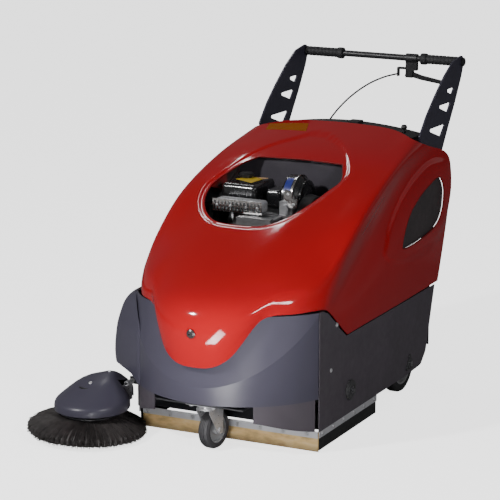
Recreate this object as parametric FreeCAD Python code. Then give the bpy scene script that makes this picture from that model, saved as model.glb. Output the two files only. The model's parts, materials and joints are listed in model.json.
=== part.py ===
"""Walk-behind petrol sweeper: one STEP file per sub-part, in millimetres, +Z up.

Layout frame used while modelling: x = 0 is the mid-plane, y = 0 the plane of the front rubber flap,
z = 0 the floor. The machine's front faces -Y and the operator walks behind it at +Y, so the
operator's left hand is on the +X side. main() moves everything so that the origin is the middle of
the bounding box at floor level.
"""
import FreeCAD, Part
import math
import os

V = FreeCAD.Vector
X_AXIS, Y_AXIS, Z_AXIS = V(1, 0, 0), V(0, 1, 0), V(0, 0, 1)

# ---- driving dimensions -------------------------------------------------------------------
HALF_WIDTH = 320.0          # mid-plane to the outside of a side plate
PLATE_T = 3.0               # side plate thickness
PLATE_IN = HALF_WIDTH - PLATE_T
PLATE_BOTTOM = 64.0

BUMPER_R = 345.6            # plan radius of the front bumper
BUMPER_CY = 130.6           # its centre, on the mid-plane
BUMPER_BOTTOM, BUMPER_TOP = 172.0, 446.0
BUMPER_T = 4.0
CREASE_RISE = 440.0         # the bumper's crease lies in the plane z = y + this
RECLINE = 0.287             # lean of the bumper above the crease, mm back per mm up
SKIRT_R = 338.0             # plan radius of the recessed lower skirts

BRUSH_Y, BRUSH_Z = 231.0, 141.0
BRUSH_R, CORE_R, BRUSH_SHAFT_R = 139.0, 52.0, 11.0
BRUSH_X0, BRUSH_X1 = -270.0, 300.0
TUNNEL_R, TUNNEL_T = 152.0, 3.0

WHEEL_Y, WHEEL_R, WHEEL_W = 722.0, 100.0, 40.0
WHEEL_X = {"left": 278.0, "right": -256.0}
AXLE_R = 10.0

CASTER_X, CASTER_Y = 0.0, -135.0
CASTER_TRAIL, CASTER_R, CASTER_W = 35.0, 62.5, 38.0
CASTER_TOP = 159.0
CASTER_TURN = -9.0          # the caster stands slightly turned, degrees about +Z

SIDE_X, SIDE_Y = -412.0, -160.0
SIDE_R = 192.0
SIDE_TILT = 2.5             # the disc brush leans towards its outer front, degrees
SIDE_HINGE_X, SIDE_HINGE_Z = -331.0, 150.0

CRANK_Y, CRANK_Z, CRANK_R = 430.0, 600.0, 10.0
ENGINE_BASE_Z = 490.0
BELT1_X, BELT2_X, BELT_W = -300.0, -286.0, 8.0
PULLEY_W = 12.0
CRANK_PULLEY_R, BRUSH_PULLEY_R = 32.0, 76.0
BRUSH_DRIVE_R, AXLE_PULLEY_R = 26.0, 72.0
DECK_Z, DECK_T = 394.0, 4.0

RAIL_X0, RAIL_X1 = 250.0, 280.0
RAIL_Z0, RAIL_Z1 = 340.0, 370.0

HOOD_T = 4.0
HINGE_Y, HINGE_Z, HINGE_R = 968.0, 736.0, 6.0

ARM_X, ARM_T = 296.0, 6.0
BAR_Y, BAR_Z, BAR_R = 1209.0, 1050.0, 11.0
GRIP_R = 16.5
LEVER_X, LEVER_Z = 104.0, 992.0

HOPPER_X, HOPPER_Y0, HOPPER_Y1 = 230.0, 464.0, 930.0
HOPPER_Z0, HOPPER_Z1 = 124.0, 323.0

NOSE_LOCK_Z = 400.0
IDLER_PIVOT, IDLER_ROLLER = (520.0, 250.0), (478.0, 196.0)      # y, z

TANK_X, TANK_Y, TANK_Z = (-200.0, -74.0), (356.0, 508.0), (660.0, 738.0)
CAP_X, CAP_Y = -165.0, 474.0
CANISTER_Y, CANISTER_Z, CANISTER_R = 466.0, 690.0, 74.0
FAN_X0, FAN_X1, FAN_R = -276.0, -206.0, 88.0
FILTER = (-212.0, 212.0, 574.0, 832.0, 372.0, 620.0)            # x0, x1, y0, y1, z0, z1

# moulding over the side brush: z, big radius, small radius, big centre, hinge-end centre
COVER_LEVELS = [(88.0, 122.0, 46.0, (-404.0, -147.0), (-382.0, -66.0)),
                (116.0, 119.0, 44.0, (-404.0, -147.0), (-382.0, -66.0)),
                (146.0, 100.0, 40.0, (-402.0, -140.0), (-380.0, -62.0)),
                (172.0, 66.0, 36.0, (-396.0, -122.0), (-378.0, -54.0)),
                (190.0, 38.0, 30.0, (-388.0, -94.0), (-374.0, -44.0))]
COVER_SCREWS = [(-378.0, -50.0), (-396.0, -112.0)]

# fairing over the belts at the bumper's right-hand corner: z and its reach from the mid-plane
FAIRING_LEVELS = [(166.0, 402.0), (200.0, 408.0), (254.0, 413.0), (300.0, 409.0), (340.0, 402.0),
                  (380.0, 391.0), (410.0, 377.0), (432.0, 356.0), (445.0, 334.0)]
FAIRING_RADII = [0, 60, 42, 90, 90, 0, 0]
FAIRING_GAP_X = -325.5      # its open side, just clear of the side plate and its bolts

RUN = 0.3                   # running clearance between parts that move on each other
CABLE_R = 3.0

# The hood is one smooth skin through named lines, each running from the front edge to the rear
# edge on the +X side. Stations are x, y, z; the -X side is their mirror image.
HOOD_LINES = [
    # middle: nose tip, nose, knuckle, long slope, rear edge of the deck
    [(0, -222, 290), (0, -238, 375), (0, -226, 452), (0, -165, 512),
     (0, 10, 597), (0, 260, 700), (0, 560, 811), (0, 860, 873)],
    [(60, -217, 295), (62, -231, 378), (64, -218, 453), (66, -158, 512),
     (68, 12, 596), (66, 260, 699), (64, 560, 810), (64, 860, 872)],
    [(112, -196, 326), (118, -205, 392), (122, -191, 457), (128, -134, 511),
     (134, 18, 592), (134, 262, 697), (130, 560, 808), (128, 858, 870)],
    [(152, -167, 388), (160, -168, 425), (168, -153, 465), (178, -102, 510),
     (192, 30, 584), (198, 268, 692), (192, 561, 804), (186, 852, 866)],
    [(190, -121, 447), (202, -112, 472), (214, -92, 496), (228, -52, 526),
     (248, 60, 580), (258, 280, 692), (248, 563, 799), (236, 836, 858)],
    # shallow groove inside the shoulder
    [(264, -64, 450), (274, -50, 474), (283, -26, 498), (292, 8, 524),
     (303, 110, 582), (309, 300, 700), (294, 565, 792), (276, 806, 850)],
    # shoulder ridge
    [(316, 26, 450), (320, 44, 474), (324, 68, 500), (328, 98, 530),
     (335, 170, 600), (338, 345, 702), (324, 585, 788), (306, 815, 836)],
    # groove between the shoulder and the rear fender
    [(319, 72, 433), (318, 108, 450), (316, 150, 474), (314, 200, 502),
     (312, 300, 562), (311, 480, 660), (308, 690, 748), (307, 935, 798)],
    [(320, 118, 397), (321, 168, 408), (322, 230, 422), (322, 310, 444),
     (322, 430, 496), (322, 600, 580), (321, 800, 668), (316, 1082, 740)],
    [(320, 166, 359), (321, 230, 362), (322, 310, 368), (322, 410, 380),
     (323, 540, 404), (324, 690, 440), (324, 850, 482), (321, 1040, 535)],
    # lower edge, resting just above the side plate
    [(320, 211, 327), (320, 300, 328), (320, 400, 328), (320, 520, 328),
     (320, 640, 328), (320, 750, 329), (320, 860, 330), (320, 966, 331)],
]


# ---- small helpers ------------------------------------------------------------------------
def block(x0, x1, y0, y1, z0, z1):
    return Part.makeBox(x1 - x0, y1 - y0, z1 - z0, V(x0, y0, z0))


def mirror_x(shape):
    return shape.mirror(V(0, 0, 0), X_AXIS)


def both_sides(shape):
    """The shape and its mirror image, as two solids."""
    return [shape, mirror_x(shape)]


def rod_x(r, x0, x1, y, z):
    return Part.makeCylinder(r, x1 - x0, V(x0, y, z), X_AXIS)


def rod_y(r, x, y0, y1, z):
    return Part.makeCylinder(r, y1 - y0, V(x, y0, z), Y_AXIS)


def rod_z(r, x, y, z0, z1):
    return Part.makeCylinder(r, z1 - z0, V(x, y, z0), Z_AXIS)


def ring_x(r_out, r_in, x0, x1, y, z):
    return rod_x(r_out, x0, x1, y, z).cut(rod_x(r_in, x0 - 1, x1 + 1, y, z))


def rounded_wire(points, radii):
    """Closed polygon with each corner rounded by its own radius (0 keeps it sharp)."""
    n = len(points)
    starts, ends, mids = [], [], []
    for i in range(n):
        before, corner, after = points[i - 1], points[i], points[(i + 1) % n]
        a, b = (before - corner), (after - corner)
        a.normalize()
        b.normalize()
        r = radii[i]
        if r <= 0:
            starts.append(corner)
            ends.append(corner)
            mids.append(None)
            continue
        half = 0.5 * a.getAngle(b)
        reach = r / math.tan(half)
        bisector = a + b
        bisector.normalize()
        centre = corner + bisector * (r / math.sin(half))
        starts.append(corner + a * reach)
        ends.append(corner + b * reach)
        mids.append(centre - bisector * r)
    edges = []
    for i in range(n):
        if mids[i] is not None:
            edges.append(Part.Arc(starts[i], mids[i], ends[i]).toShape())
        j = (i + 1) % n
        if ends[i].distanceToPoint(starts[j]) > 1e-6:
            edges.append(Part.LineSegment(ends[i], starts[j]).toShape())
    return Part.Wire(edges)


def prism_x(outline, x0, x1, radii=None):
    """Plate with an outline of (y, z) points, from x0 to x1."""
    points = [V(x0, y, z) for y, z in outline]
    wire = rounded_wire(points, radii or [0] * len(points))
    return Part.Face(wire).extrude(V(x1 - x0, 0, 0))


def revolve(profile, centre, axis=Z_AXIS, side=X_AXIS):
    """Solid of revolution from (radius, height) points around the axis through centre."""
    points = [centre + side * r + axis * h for r, h in profile]
    return Part.Face(Part.makePolygon(points + points[:1])).revolve(centre, axis, 360)


def fused(*shapes):
    return shapes[0].multiFuse(list(shapes[1:])).removeSplitter()


def curve(points):
    spline = Part.BSplineCurve()
    spline.interpolate(points)
    return spline.toShape()


def skin(outer, inner):
    """Closed solid between two four-sided faces that were made the same way."""
    sides = [Part.makeRuledSurface(a, b) for a, b in zip(outer.Edges, inner.Edges)]
    shell = Part.makeShell([outer, inner] + [f for s in sides for f in s.Faces])
    shell.sewShape()
    solid = Part.makeSolid(shell)
    if solid.Volume < 0:
        solid.reverse()
    return solid


def resample(points, steps):
    """Points along a smooth curve through the given ones, steps to each span."""
    n = len(points)
    knots = [0.0]
    for i in range(1, n):
        knots.append(knots[-1] + math.sqrt(points[i].distanceToPoint(points[i - 1])))
    slopes = []
    for i in range(n):
        a, b = max(i - 1, 0), min(i + 1, n - 1)
        slopes.append((points[b] - points[a]) * (1.0 / (knots[b] - knots[a])))
    out = []
    for i in range(n - 1):
        span = knots[i + 1] - knots[i]
        for k in range(steps):
            t = k / steps
            here = points[i] * (2 * t ** 3 - 3 * t ** 2 + 1) + slopes[i] * (span * (t ** 3 - 2 * t ** 2 + t))
            there = points[i + 1] * (3 * t ** 2 - 2 * t ** 3) + slopes[i + 1] * (span * (t ** 3 - t ** 2))
            out.append(here + there)
    return out + [points[-1]]


def refine(grid, along, across):
    """The grid with more points along and across, on the smooth surface through it."""
    wide = [resample(row, across) for row in grid]
    columns = [resample(list(column), along) for column in zip(*wide)]
    return [list(row) for row in zip(*columns)]


def smooth_face(poles):
    """Cubic surface drawn by a dense grid of poles."""
    rows, cols = len(poles), len(poles[0])

    def knots(count):
        inner = count - 3
        return [float(i) for i in range(inner + 1)], [4] + [1] * (inner - 1) + [4]

    (u_knots, u_mults), (v_knots, v_mults) = knots(rows), knots(cols)
    surface = Part.BSplineSurface()
    surface.buildFromPolesMultsKnots(poles, u_mults, v_mults, u_knots, v_knots, False, False, 3, 3)
    return surface.toShape()


def offset_grid(grid, distance):
    """Grid moved along its own normals."""
    rows, cols = len(grid), len(grid[0])
    moved = []
    for i in range(rows):
        line = []
        for j in range(cols):
            along = grid[min(i + 1, rows - 1)][j] - grid[max(i - 1, 0)][j]
            across = grid[i][min(j + 1, cols - 1)] - grid[i][max(j - 1, 0)]
            normal = along.cross(across)
            normal.normalize()
            line.append(grid[i][j] + normal * distance)
        moved.append(line)
    return moved


def at(shape, origin, angle, axis):
    """Copy turned about an axis through origin."""
    copy = shape.copy()
    copy.rotate(origin, axis, angle)
    return copy


def bolt_x(x, y, z, outward, head_r=6.0, head_h=4.0, shank_r=3.0, shank=12.0):
    """Dome-head bolt through a plate whose outer face is at x; outward is +1 or -1."""
    centre, axis = V(x, y, z), X_AXIS * outward
    profile = [(0, -shank), (shank_r, -shank), (shank_r, 0), (head_r, 0),
               (head_r, head_h * 0.45), (head_r * 0.6, head_h), (0, head_h)]
    return revolve(profile, centre, axis, Y_AXIS)


def bolt_y(x, y, z, head_r=6.0, head_h=4.0, shank_r=3.0, shank=14.0):
    """The same bolt, with its head towards the front."""
    profile = [(0, -shank), (shank_r, -shank), (shank_r, 0), (head_r, 0),
               (head_r, head_h * 0.45), (head_r * 0.6, head_h), (0, head_h)]
    return revolve(profile, V(x, y, z), Y_AXIS * -1, X_AXIS)


# ---- body ---------------------------------------------------------------------------------
PLATE_OUTLINE = [(2, PLATE_BOTTOM), (700, PLATE_BOTTOM), (826, 70), (868, 108), (939, 324),
                 (204, 324), (160, 354), (112, 393), (66, 428), (24, 446), (2, 446)]
PLATE_RADII = [0, 300, 30, 40, 0, 0, 60, 0, 60, 30, 0]
PLATE_BOLTS = [(85, 242), (128, 378)]
STRIP_BOLTS_Y = [30 + 80 * i for i in range(6)]
FRONT_BOLTS_X = [-280 + 80 * i for i in range(8)]
FRONT_FLAP_X = (-300, 317)
STRIP_BOLT_Z = 54.0


def side_plate(side):
    plate = prism_x(PLATE_OUTLINE, PLATE_IN, HALF_WIDTH, PLATE_RADII)
    holes = [rod_x(3.1, 310, 325, y, z) for y, z in PLATE_BOLTS]
    holes.append(rod_x(14, 310, 325, BRUSH_Y, BRUSH_Z))
    holes.append(rod_x(14, 310, 325, WHEEL_Y, WHEEL_R))
    plate = plate.cut(Part.makeCompound(holes))
    return plate if side == "left" else mirror_x(plate)


def bumper_y(x, radius=BUMPER_R):
    return BUMPER_CY - math.sqrt(radius ** 2 - x ** 2)


def bumper_rows(inset):
    """Bottom edge, crease and top edge of the bumper skin, moved inwards by inset."""
    radius = BUMPER_R - inset
    reach = math.asin((HALF_WIDTH - 1.4) / BUMPER_R)
    angles = [reach * (i / 12.0 - 1.0) for i in range(25)]
    plan = [(radius * math.sin(a), BUMPER_CY - radius * math.cos(a)) for a in angles]
    low = [V(x, y, BUMPER_BOTTOM) for x, y in plan]
    crease, high = [], []
    for x, y in plan:
        outer_y = y - inset
        z = min(CREASE_RISE + outer_y, BUMPER_TOP - 4)
        crease.append(V(x, y, z))
        high.append(V(x, y + RECLINE * (BUMPER_TOP - z), BUMPER_TOP))
    return low, crease, high


def fairing_blank(inset):
    """Solid of the fairing's outside, or of its hollow when moved inwards by inset."""
    wires = []
    for z, reach in FAIRING_LEVELS:
        lean = RECLINE * max(0.0, z - 340)
        level = z - 1.5 * inset if z > 166 else z - inset
        out = reach - inset
        plan = [(-190, -90), (-236, -122 + lean + inset), (20 - out, -16 + 0.5 * lean + inset), (-out, 34),
                (6 - out, 105), (-318, 190 - inset), (-190, 190 - inset)]
        wires.append(rounded_wire([V(x, y, level) for x, y in plan], FAIRING_RADII))
    return Part.makeLoft(wires, True, False)


def belt_fairing():
    """Hollow bulge that continues the bumper outwards over the brush belts, open below."""
    shell = fairing_blank(0).cut(fairing_blank(BUMPER_T))
    body = rod_z(BUMPER_R - 2, 0, BUMPER_CY, 0, 600)
    behind = block(FAIRING_GAP_X, 0, 1, 400, 0, 600)
    below = [(-100, 0), (-100, 172), (-262, 172), (-300, 194), (-400, 209), (-440, 226), (-440, 0), (-100, 0)]
    under = Part.Face(Part.makePolygon([V(x, -250, z) for x, z in below])).extrude(V(0, 600, 0))
    return shell.cut(Part.makeCompound([body, behind, under]))


def front_bumper():
    outer, inner = bumper_rows(0), bumper_rows(BUMPER_T)
    bands = []
    for k in range(2):
        bands.append(skin(Part.makeRuledSurface(curve(outer[k]), curve(outer[k + 1])),
                          Part.makeRuledSurface(curve(inner[k]), curve(inner[k + 1]))))
    bumper = fused(*bands, belt_fairing())
    lock_hole = rod_y(13, 0, -260, -120, NOSE_LOCK_Z)
    return bumper.cut(lock_hole)


def lower_skirts():
    """Curved panel each side of the caster, its lower edge rising towards the middle."""
    x_in, x_out = 172.0, 309.0
    steps = 8
    xs = [x_in + (x_out - x_in) * i / steps for i in range(steps + 1)]

    def line(inset, level):
        r = SKIRT_R - inset
        return [V(x * (r / SKIRT_R), BUMPER_CY - (BUMPER_CY - bumper_y(x, SKIRT_R)) * (r / SKIRT_R),
                  level(x)) for x in xs]

    def lower(x):
        t = (x - x_in) / (x_out - x_in)
        return 117.0 - 50.0 * t ** 1.2

    def upper(_x):
        return BUMPER_BOTTOM - 1.0

    outer = Part.makeRuledSurface(curve(line(0, lower)), curve(line(0, upper)))
    inner = Part.makeRuledSurface(curve(line(4, lower)), curve(line(4, upper)))
    panel = skin(outer, inner)
    return Part.makeCompound(both_sides(panel))


def box_tube(x0, x1, y0, y1, z0, z1, wall=2.5):
    """Square tube along its longest side, open at both ends."""
    sizes = (x1 - x0, y1 - y0, z1 - z0)
    along = sizes.index(max(sizes))
    inset = [wall if i != along else -1.0 for i in range(3)]
    hollow = block(x0 + inset[0], x1 - inset[0], y0 + inset[1], y1 - inset[1], z0 + inset[2], z1 - inset[2])
    return block(x0, x1, y0, y1, z0, z1).cut(hollow)


def frame_side():
    """Rail, uprights, handle post, plate tabs and hopper runner of the +X side."""
    pieces = [box_tube(RAIL_X0, RAIL_X1, 12, 985, RAIL_Z0, RAIL_Z1),
              box_tube(RAIL_X0, RAIL_X1, 12, 42, CASTER_TOP + 35, RAIL_Z0),
              box_tube(RAIL_X0, RAIL_X1, 12, 36, RAIL_Z1, DECK_Z),
              box_tube(RAIL_X0, RAIL_X1, 566, 590, RAIL_Z1, DECK_Z),
              box_tube(264, ARM_X - ARM_T / 2, 945, 985, RAIL_Z1, 758)]
    for y in (60, 884):
        pieces.append(block(RAIL_X0 + 10, RAIL_X0 + 14, y, y + 30, 280, RAIL_Z0))
        pieces.append(block(RAIL_X0 + 10, PLATE_IN - 0.5, y, y + 30, 280, 284))
    pieces.append(block(250, 254, 480, 925, 315, RAIL_Z0))
    pieces.append(block(234, 254, 480, 925, 315, 318))
    return fused(*pieces)


def side_brush_ear():
    """Ear and pin that carry the side brush, welded to the front right-hand corner."""
    hx, hz = SIDE_HINGE_X, SIDE_HINGE_Z
    return fused(block(hx - 11, -311, -10, -4, hz - 12, hz + 12),
                 block(-316.5, -311, -10, 12, hz - 12, BUMPER_BOTTOM - 1),
                 rod_y(4, hx, -58, -4, hz))


def chassis_frame():
    """Welded frame: nose plate, front beam, rails, engine deck, rear beam and handle posts."""
    beam = box_tube(-PLATE_IN + 0.5, PLATE_IN - 0.5, 12, 42, CASTER_TOP + 5, CASTER_TOP + 35)
    nose = block(-150, 150, -188, 42, CASTER_TOP, CASTER_TOP + 5)
    deck = block(-282, 290, 12, 556, DECK_Z, DECK_Z + DECK_T)
    strips = both_sides(block(240, 282, 555, 600, DECK_Z, DECK_Z + DECK_T))
    engine_bed = fused(block(-170, 80, 330, 540, ENGINE_BASE_Z - 5, ENGINE_BASE_Z),
                       *[box_tube(x, x + 30, y, y + 30, DECK_Z + DECK_T - 1, ENGINE_BASE_Z - 4)
                         for x in (-168, 48) for y in (332, 508)])
    rear = box_tube(-RAIL_X0, RAIL_X0, 884, 914, RAIL_Z0, RAIL_Z1)
    side = frame_side()
    idler_post = fused(block(BELT2_X + 12.5, BELT2_X + 16.5, 505, 535, 238, RAIL_Z0 + 1),
                       rod_x(6, BELT2_X + 5, BELT2_X + 13, *IDLER_PIVOT))
    frame = fused(beam, nose, deck, rear, side_brush_ear(), idler_post, engine_bed,
                  *(strips + both_sides(side)))
    holes = [rod_z(5.2, x, y, 150, 175) for x, y in caster_bolt_places()]
    for y, z in ARM_BOLTS:
        holes += both_sides(rod_x(4.2, 262, 300, y, z))
    return frame.cut(Part.makeCompound(holes))


def caster_bolt_places():
    return [(CASTER_X + sx * 38, CASTER_Y + sy * 30) for sx in (-1, 1) for sy in (-1, 1)]


def brush_housing():
    """Tunnel over the main brush with its end walls and the rear flap's bar."""
    x0, x1 = BRUSH_X0 - 7, BRUSH_X1 + 7
    ring = ring_x(TUNNEL_R + TUNNEL_T, TUNNEL_R, x0, x1, BRUSH_Y, BRUSH_Z)
    keep = prism_x([(BRUSH_Y, BRUSH_Z), (-200, BRUSH_Z - 20), (-200, 600), (800, 600),
                    (800, BRUSH_Z + 398)], x0 - 1, x1 + 1)
    front = prism_x([(10, 70), (13, 68), (BRUSH_Y - TUNNEL_R, BRUSH_Z - 17),
                     (BRUSH_Y - TUNNEL_R - 3, BRUSH_Z - 13)], x0, x1)
    bar = block(x0, x1, 452, 455, 66, 120)
    walls = []
    for a in (x0, x1 - 3):
        wall = rod_x(TUNNEL_R + TUNNEL_T, a, a + 3, BRUSH_Y, BRUSH_Z)
        wall = wall.cut(block(a - 1, a + 4, -50, 600, -50, 66))
        walls.append(wall.fuse(block(a, a + 3, 20, 455, 66, 120)))
    housing = fused(ring.common(keep), front, bar, *walls)
    return housing.cut(rod_x(16, x0 - 1, x1 + 1, BRUSH_Y, BRUSH_Z))


def flap_hole_x(x, z):
    return rod_y(3.1, x, -10, 20, z)


def front_flap():
    flap = block(*FRONT_FLAP_X, 0, 5, 0, 62)
    return flap.cut(Part.makeCompound([flap_hole_x(x, STRIP_BOLT_Z) for x in FRONT_BOLTS_X]))


def rubber_flaps():
    """Side flaps behind their strips, and the rear flap in front of the hopper."""
    side = block(312, 316, 12, 452, 2, 100)
    side = side.cut(Part.makeCompound([rod_x(3.1, 300, 330, y, STRIP_BOLT_Z) for y in STRIP_BOLTS_Y]))
    rear = block(BRUSH_X0 - 2, BRUSH_X1, 447, 451.8, 0, 100)
    return Part.makeCompound(both_sides(side) + [rear])


def clamp_strips():
    """Aluminium bars that hold the front and side flaps."""
    front = block(*FRONT_FLAP_X, -3, 0, 44, 66)
    front = front.cut(Part.makeCompound([flap_hole_x(x, STRIP_BOLT_Z) for x in FRONT_BOLTS_X]))
    side = block(316, 319, 7, 452, 43, PLATE_BOTTOM - 1)
    side = side.cut(Part.makeCompound([rod_x(3.1, 300, 330, y, STRIP_BOLT_Z) for y in STRIP_BOLTS_Y]))
    return Part.makeCompound([front] + both_sides(side))


def body_bolts():
    bolts = []
    for y, z in PLATE_BOLTS:
        bolts += both_sides(bolt_x(HALF_WIDTH, y, z, 1, head_r=7))
    for y in STRIP_BOLTS_Y:
        bolts += both_sides(bolt_x(319, y, STRIP_BOLT_Z, 1, head_r=7))
    for x in FRONT_BOLTS_X:
        bolts.append(bolt_y(x, -3, STRIP_BOLT_Z, head_r=7))
    for y, z in ARM_BOLTS:
        bolts += both_sides(bolt_x(ARM_X + ARM_T / 2, y, z, 1, head_r=7, head_h=3.0, shank_r=4, shank=30))
    for x, y in caster_bolt_places():
        profile = [(0, 0), (8, 0), (8, 6), (5, 6), (5, 16), (0, 16)]
        bolts.append(revolve(profile, V(x, y, CASTER_TOP - 11)))
    return Part.makeCompound(bolts)


# ---- main brush ---------------------------------------------------------------------------
def brush_core():
    tube = ring_x(CORE_R, CORE_R - 4, BRUSH_X0, BRUSH_X1, BRUSH_Y, BRUSH_Z)
    plugs = [rod_x(CORE_R - 4, a, a + 12, BRUSH_Y, BRUSH_Z) for a in (BRUSH_X0, BRUSH_X1 - 12)]
    core = fused(tube, *plugs)
    return core.cut(rod_x(BRUSH_SHAFT_R, -400, 400, BRUSH_Y, BRUSH_Z))


def brush_bristles():
    """Twelve straight rows of bristles round the core."""
    rows = 12
    zone = ring_x(BRUSH_R, CORE_R, BRUSH_X0 + 2, BRUSH_X1 - 2, BRUSH_Y, BRUSH_Z)
    row = block(BRUSH_X0 + 2, BRUSH_X1 - 2, BRUSH_Y - 6, BRUSH_Y + 6, BRUSH_Z + CORE_R - 4, BRUSH_Z + 150)
    row = row.common(zone)
    centre = V(0, BRUSH_Y, BRUSH_Z)
    return Part.makeCompound([at(row, centre, 360.0 * i / rows, X_AXIS) for i in range(rows)])


def groove(r, x, y, z):
    """Ring that cuts a belt groove into a pulley of radius r."""
    w = BELT_W / 2 + 0.8
    return ring_x(r + 5, r - 8, x - w, x + w, y, z)


def pulley(r, x, y, z, bore):
    wheel = ring_x(r, bore, x - PULLEY_W / 2, x + PULLEY_W / 2, y, z)
    return wheel.cut(groove(r, x, y, z))


def brush_shaft():
    """Brush shaft with its two belt pulleys keyed on at the right-hand end."""
    shaft = rod_x(BRUSH_SHAFT_R, -331, 331, BRUSH_Y, BRUSH_Z)
    bolts = [rod_x(7, 331, 336, BRUSH_Y, BRUSH_Z), rod_x(7, -336, -331, BRUSH_Y, BRUSH_Z)]
    big = pulley(BRUSH_PULLEY_R, BELT1_X, BRUSH_Y, BRUSH_Z, BRUSH_SHAFT_R)
    small = pulley(BRUSH_DRIVE_R, BELT2_X, BRUSH_Y, BRUSH_Z, BRUSH_SHAFT_R)
    return fused(shaft, big, small, *bolts)


def belt(r1, y1, z1, r2, y2, z2, x):
    """Flat loop round two pulley grooves, standing just clear of both."""
    thick, gap = 6.0, 0.5

    def loop(extra):
        dy, dz = y2 - y1, z2 - z1
        dist = math.hypot(dy, dz)
        ra, rb = r1 + extra, r2 + extra
        base = math.atan2(dz, dy)
        lean = math.acos((ra - rb) / dist)

        def point(y, z, r, a):
            return V(x - BELT_W / 2, y + r * math.cos(a), z + r * math.sin(a))

        a1, a2 = point(y1, z1, ra, base + lean), point(y1, z1, ra, base - lean)
        b1, b2 = point(y2, z2, rb, base + lean), point(y2, z2, rb, base - lean)
        far_a = point(y1, z1, ra, base + math.pi)
        far_b = point(y2, z2, rb, base)
        wire = Part.Wire([Part.Arc(a2, far_a, a1).toShape(), Part.LineSegment(a1, b1).toShape(),
                          Part.Arc(b1, far_b, b2).toShape(), Part.LineSegment(b2, a2).toShape()])
        return Part.Face(wire).extrude(V(BELT_W, 0, 0))

    return loop(-8 + gap + thick).cut(loop(-8 + gap))


def brush_belt():
    return belt(CRANK_PULLEY_R, CRANK_Y, CRANK_Z, BRUSH_PULLEY_R, BRUSH_Y, BRUSH_Z, BELT1_X)


def drive_belt():
    return belt(BRUSH_DRIVE_R, BRUSH_Y, BRUSH_Z, AXLE_PULLEY_R, WHEEL_Y, WHEEL_R, BELT2_X)


def flange_bearings():
    """Round flanges for the brush shaft and three-eared ones for the axle, one on each plate."""
    x0, x1 = HALF_WIDTH, HALF_WIDTH + 8
    round_one = ring_x(32, BRUSH_SHAFT_R + RUN, x0, x1, BRUSH_Y, BRUSH_Z)
    lip = ring_x(26, 20, x1, x1 + 1.5, BRUSH_Y, BRUSH_Z)
    eared = rod_x(18, x0, x1 - 2, WHEEL_Y, WHEEL_R)
    for k in range(3):
        a = math.radians(90 + 120 * k)
        eared = eared.fuse(rod_x(8, x0, x1 - 4, WHEEL_Y + 24 * math.cos(a), WHEEL_R + 24 * math.sin(a)))
    eared = eared.cut(rod_x(AXLE_R + RUN, x0 - 1, x1 + 2, WHEEL_Y, WHEEL_R))
    return Part.makeCompound(both_sides(round_one.fuse(lip)) + both_sides(eared))


# ---- wheels and axle ----------------------------------------------------------------------
def wheel_profile_ring(x, y, z, r_out, r_in, w, crown):
    """Tyre ring about an axis along X with rounded shoulders."""
    h = w / 2
    profile = [(r_in, -h), (r_out - crown, -h), (r_out - crown * 0.3, -h + crown * 0.35), (r_out, -h + crown),
               (r_out, h - crown), (r_out - crown * 0.3, h - crown * 0.35), (r_out - crown, h), (r_in, h)]
    return revolve(profile, V(x, y, z), X_AXIS, Z_AXIS)


def rear_tyre(side):
    return wheel_profile_ring(WHEEL_X[side], WHEEL_Y, WHEEL_R, WHEEL_R, 74, WHEEL_W, 9)


def rear_rim(side):
    x = WHEEL_X[side]
    rim = ring_x(74, 68, x - 19, x + 19, WHEEL_Y, WHEEL_R)
    web = ring_x(68, 20, x - 4, x + 4, WHEEL_Y, WHEEL_R)
    hub = rod_x(24, x - 19, x + 19, WHEEL_Y, WHEEL_R)
    wheel = fused(rim, web, hub)
    bore = AXLE_R if side == "right" else AXLE_R + 0.1
    holes = [rod_x(9, x - 10, x + 10, WHEEL_Y + 46 * math.cos(a), WHEEL_R + 46 * math.sin(a))
             for a in [math.radians(60 * k) for k in range(6)]]
    return wheel.cut(Part.makeCompound([rod_x(bore, x - 30, x + 30, WHEEL_Y, WHEEL_R)] + holes))


def drive_axle():
    """Axle with the traction pulley keyed on; the ends show in the flange bearings."""
    axle = rod_x(AXLE_R, -330, 330, WHEEL_Y, WHEEL_R)
    collars = [rod_x(15, WHEEL_X["left"] - 26, WHEEL_X["left"] - 20, WHEEL_Y, WHEEL_R),
               rod_x(15, WHEEL_X["left"] + 20, WHEEL_X["left"] + 26, WHEEL_Y, WHEEL_R)]
    return fused(axle, pulley(AXLE_PULLEY_R, BELT2_X, WHEEL_Y, WHEEL_R, AXLE_R), *collars)


def idler_arm():
    """Arm that presses the traction belt's upper run when the hand lever is pulled."""
    (py, pz), (ry, rz) = IDLER_PIVOT, IDLER_ROLLER
    x0, x1 = BELT2_X + 8, BELT2_X + 12
    arm = fused(rod_x(12, x0, x1, py, pz), rod_x(9, x0, x1, ry, rz),
                prism_x([(py - 8, pz + 6), (py + 8, pz - 6), (ry + 6, rz - 5), (ry - 6, rz + 5)], x0, x1),
                prism_x([(py - 6, pz), (py + 6, pz), (py + 6, pz + 52), (py - 6, pz + 52)], x0, x1))
    pin = rod_x(5, BELT2_X - 6, x0, ry, rz)
    return fused(arm.cut(rod_x(6 + RUN, x0 - 2, x1 + 2, py, pz)), pin)


def idler_roller():
    ry, rz = IDLER_ROLLER
    return ring_x(15, 5 + RUN, BELT2_X - 5.5, BELT2_X + 6.5, ry, rz)


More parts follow.
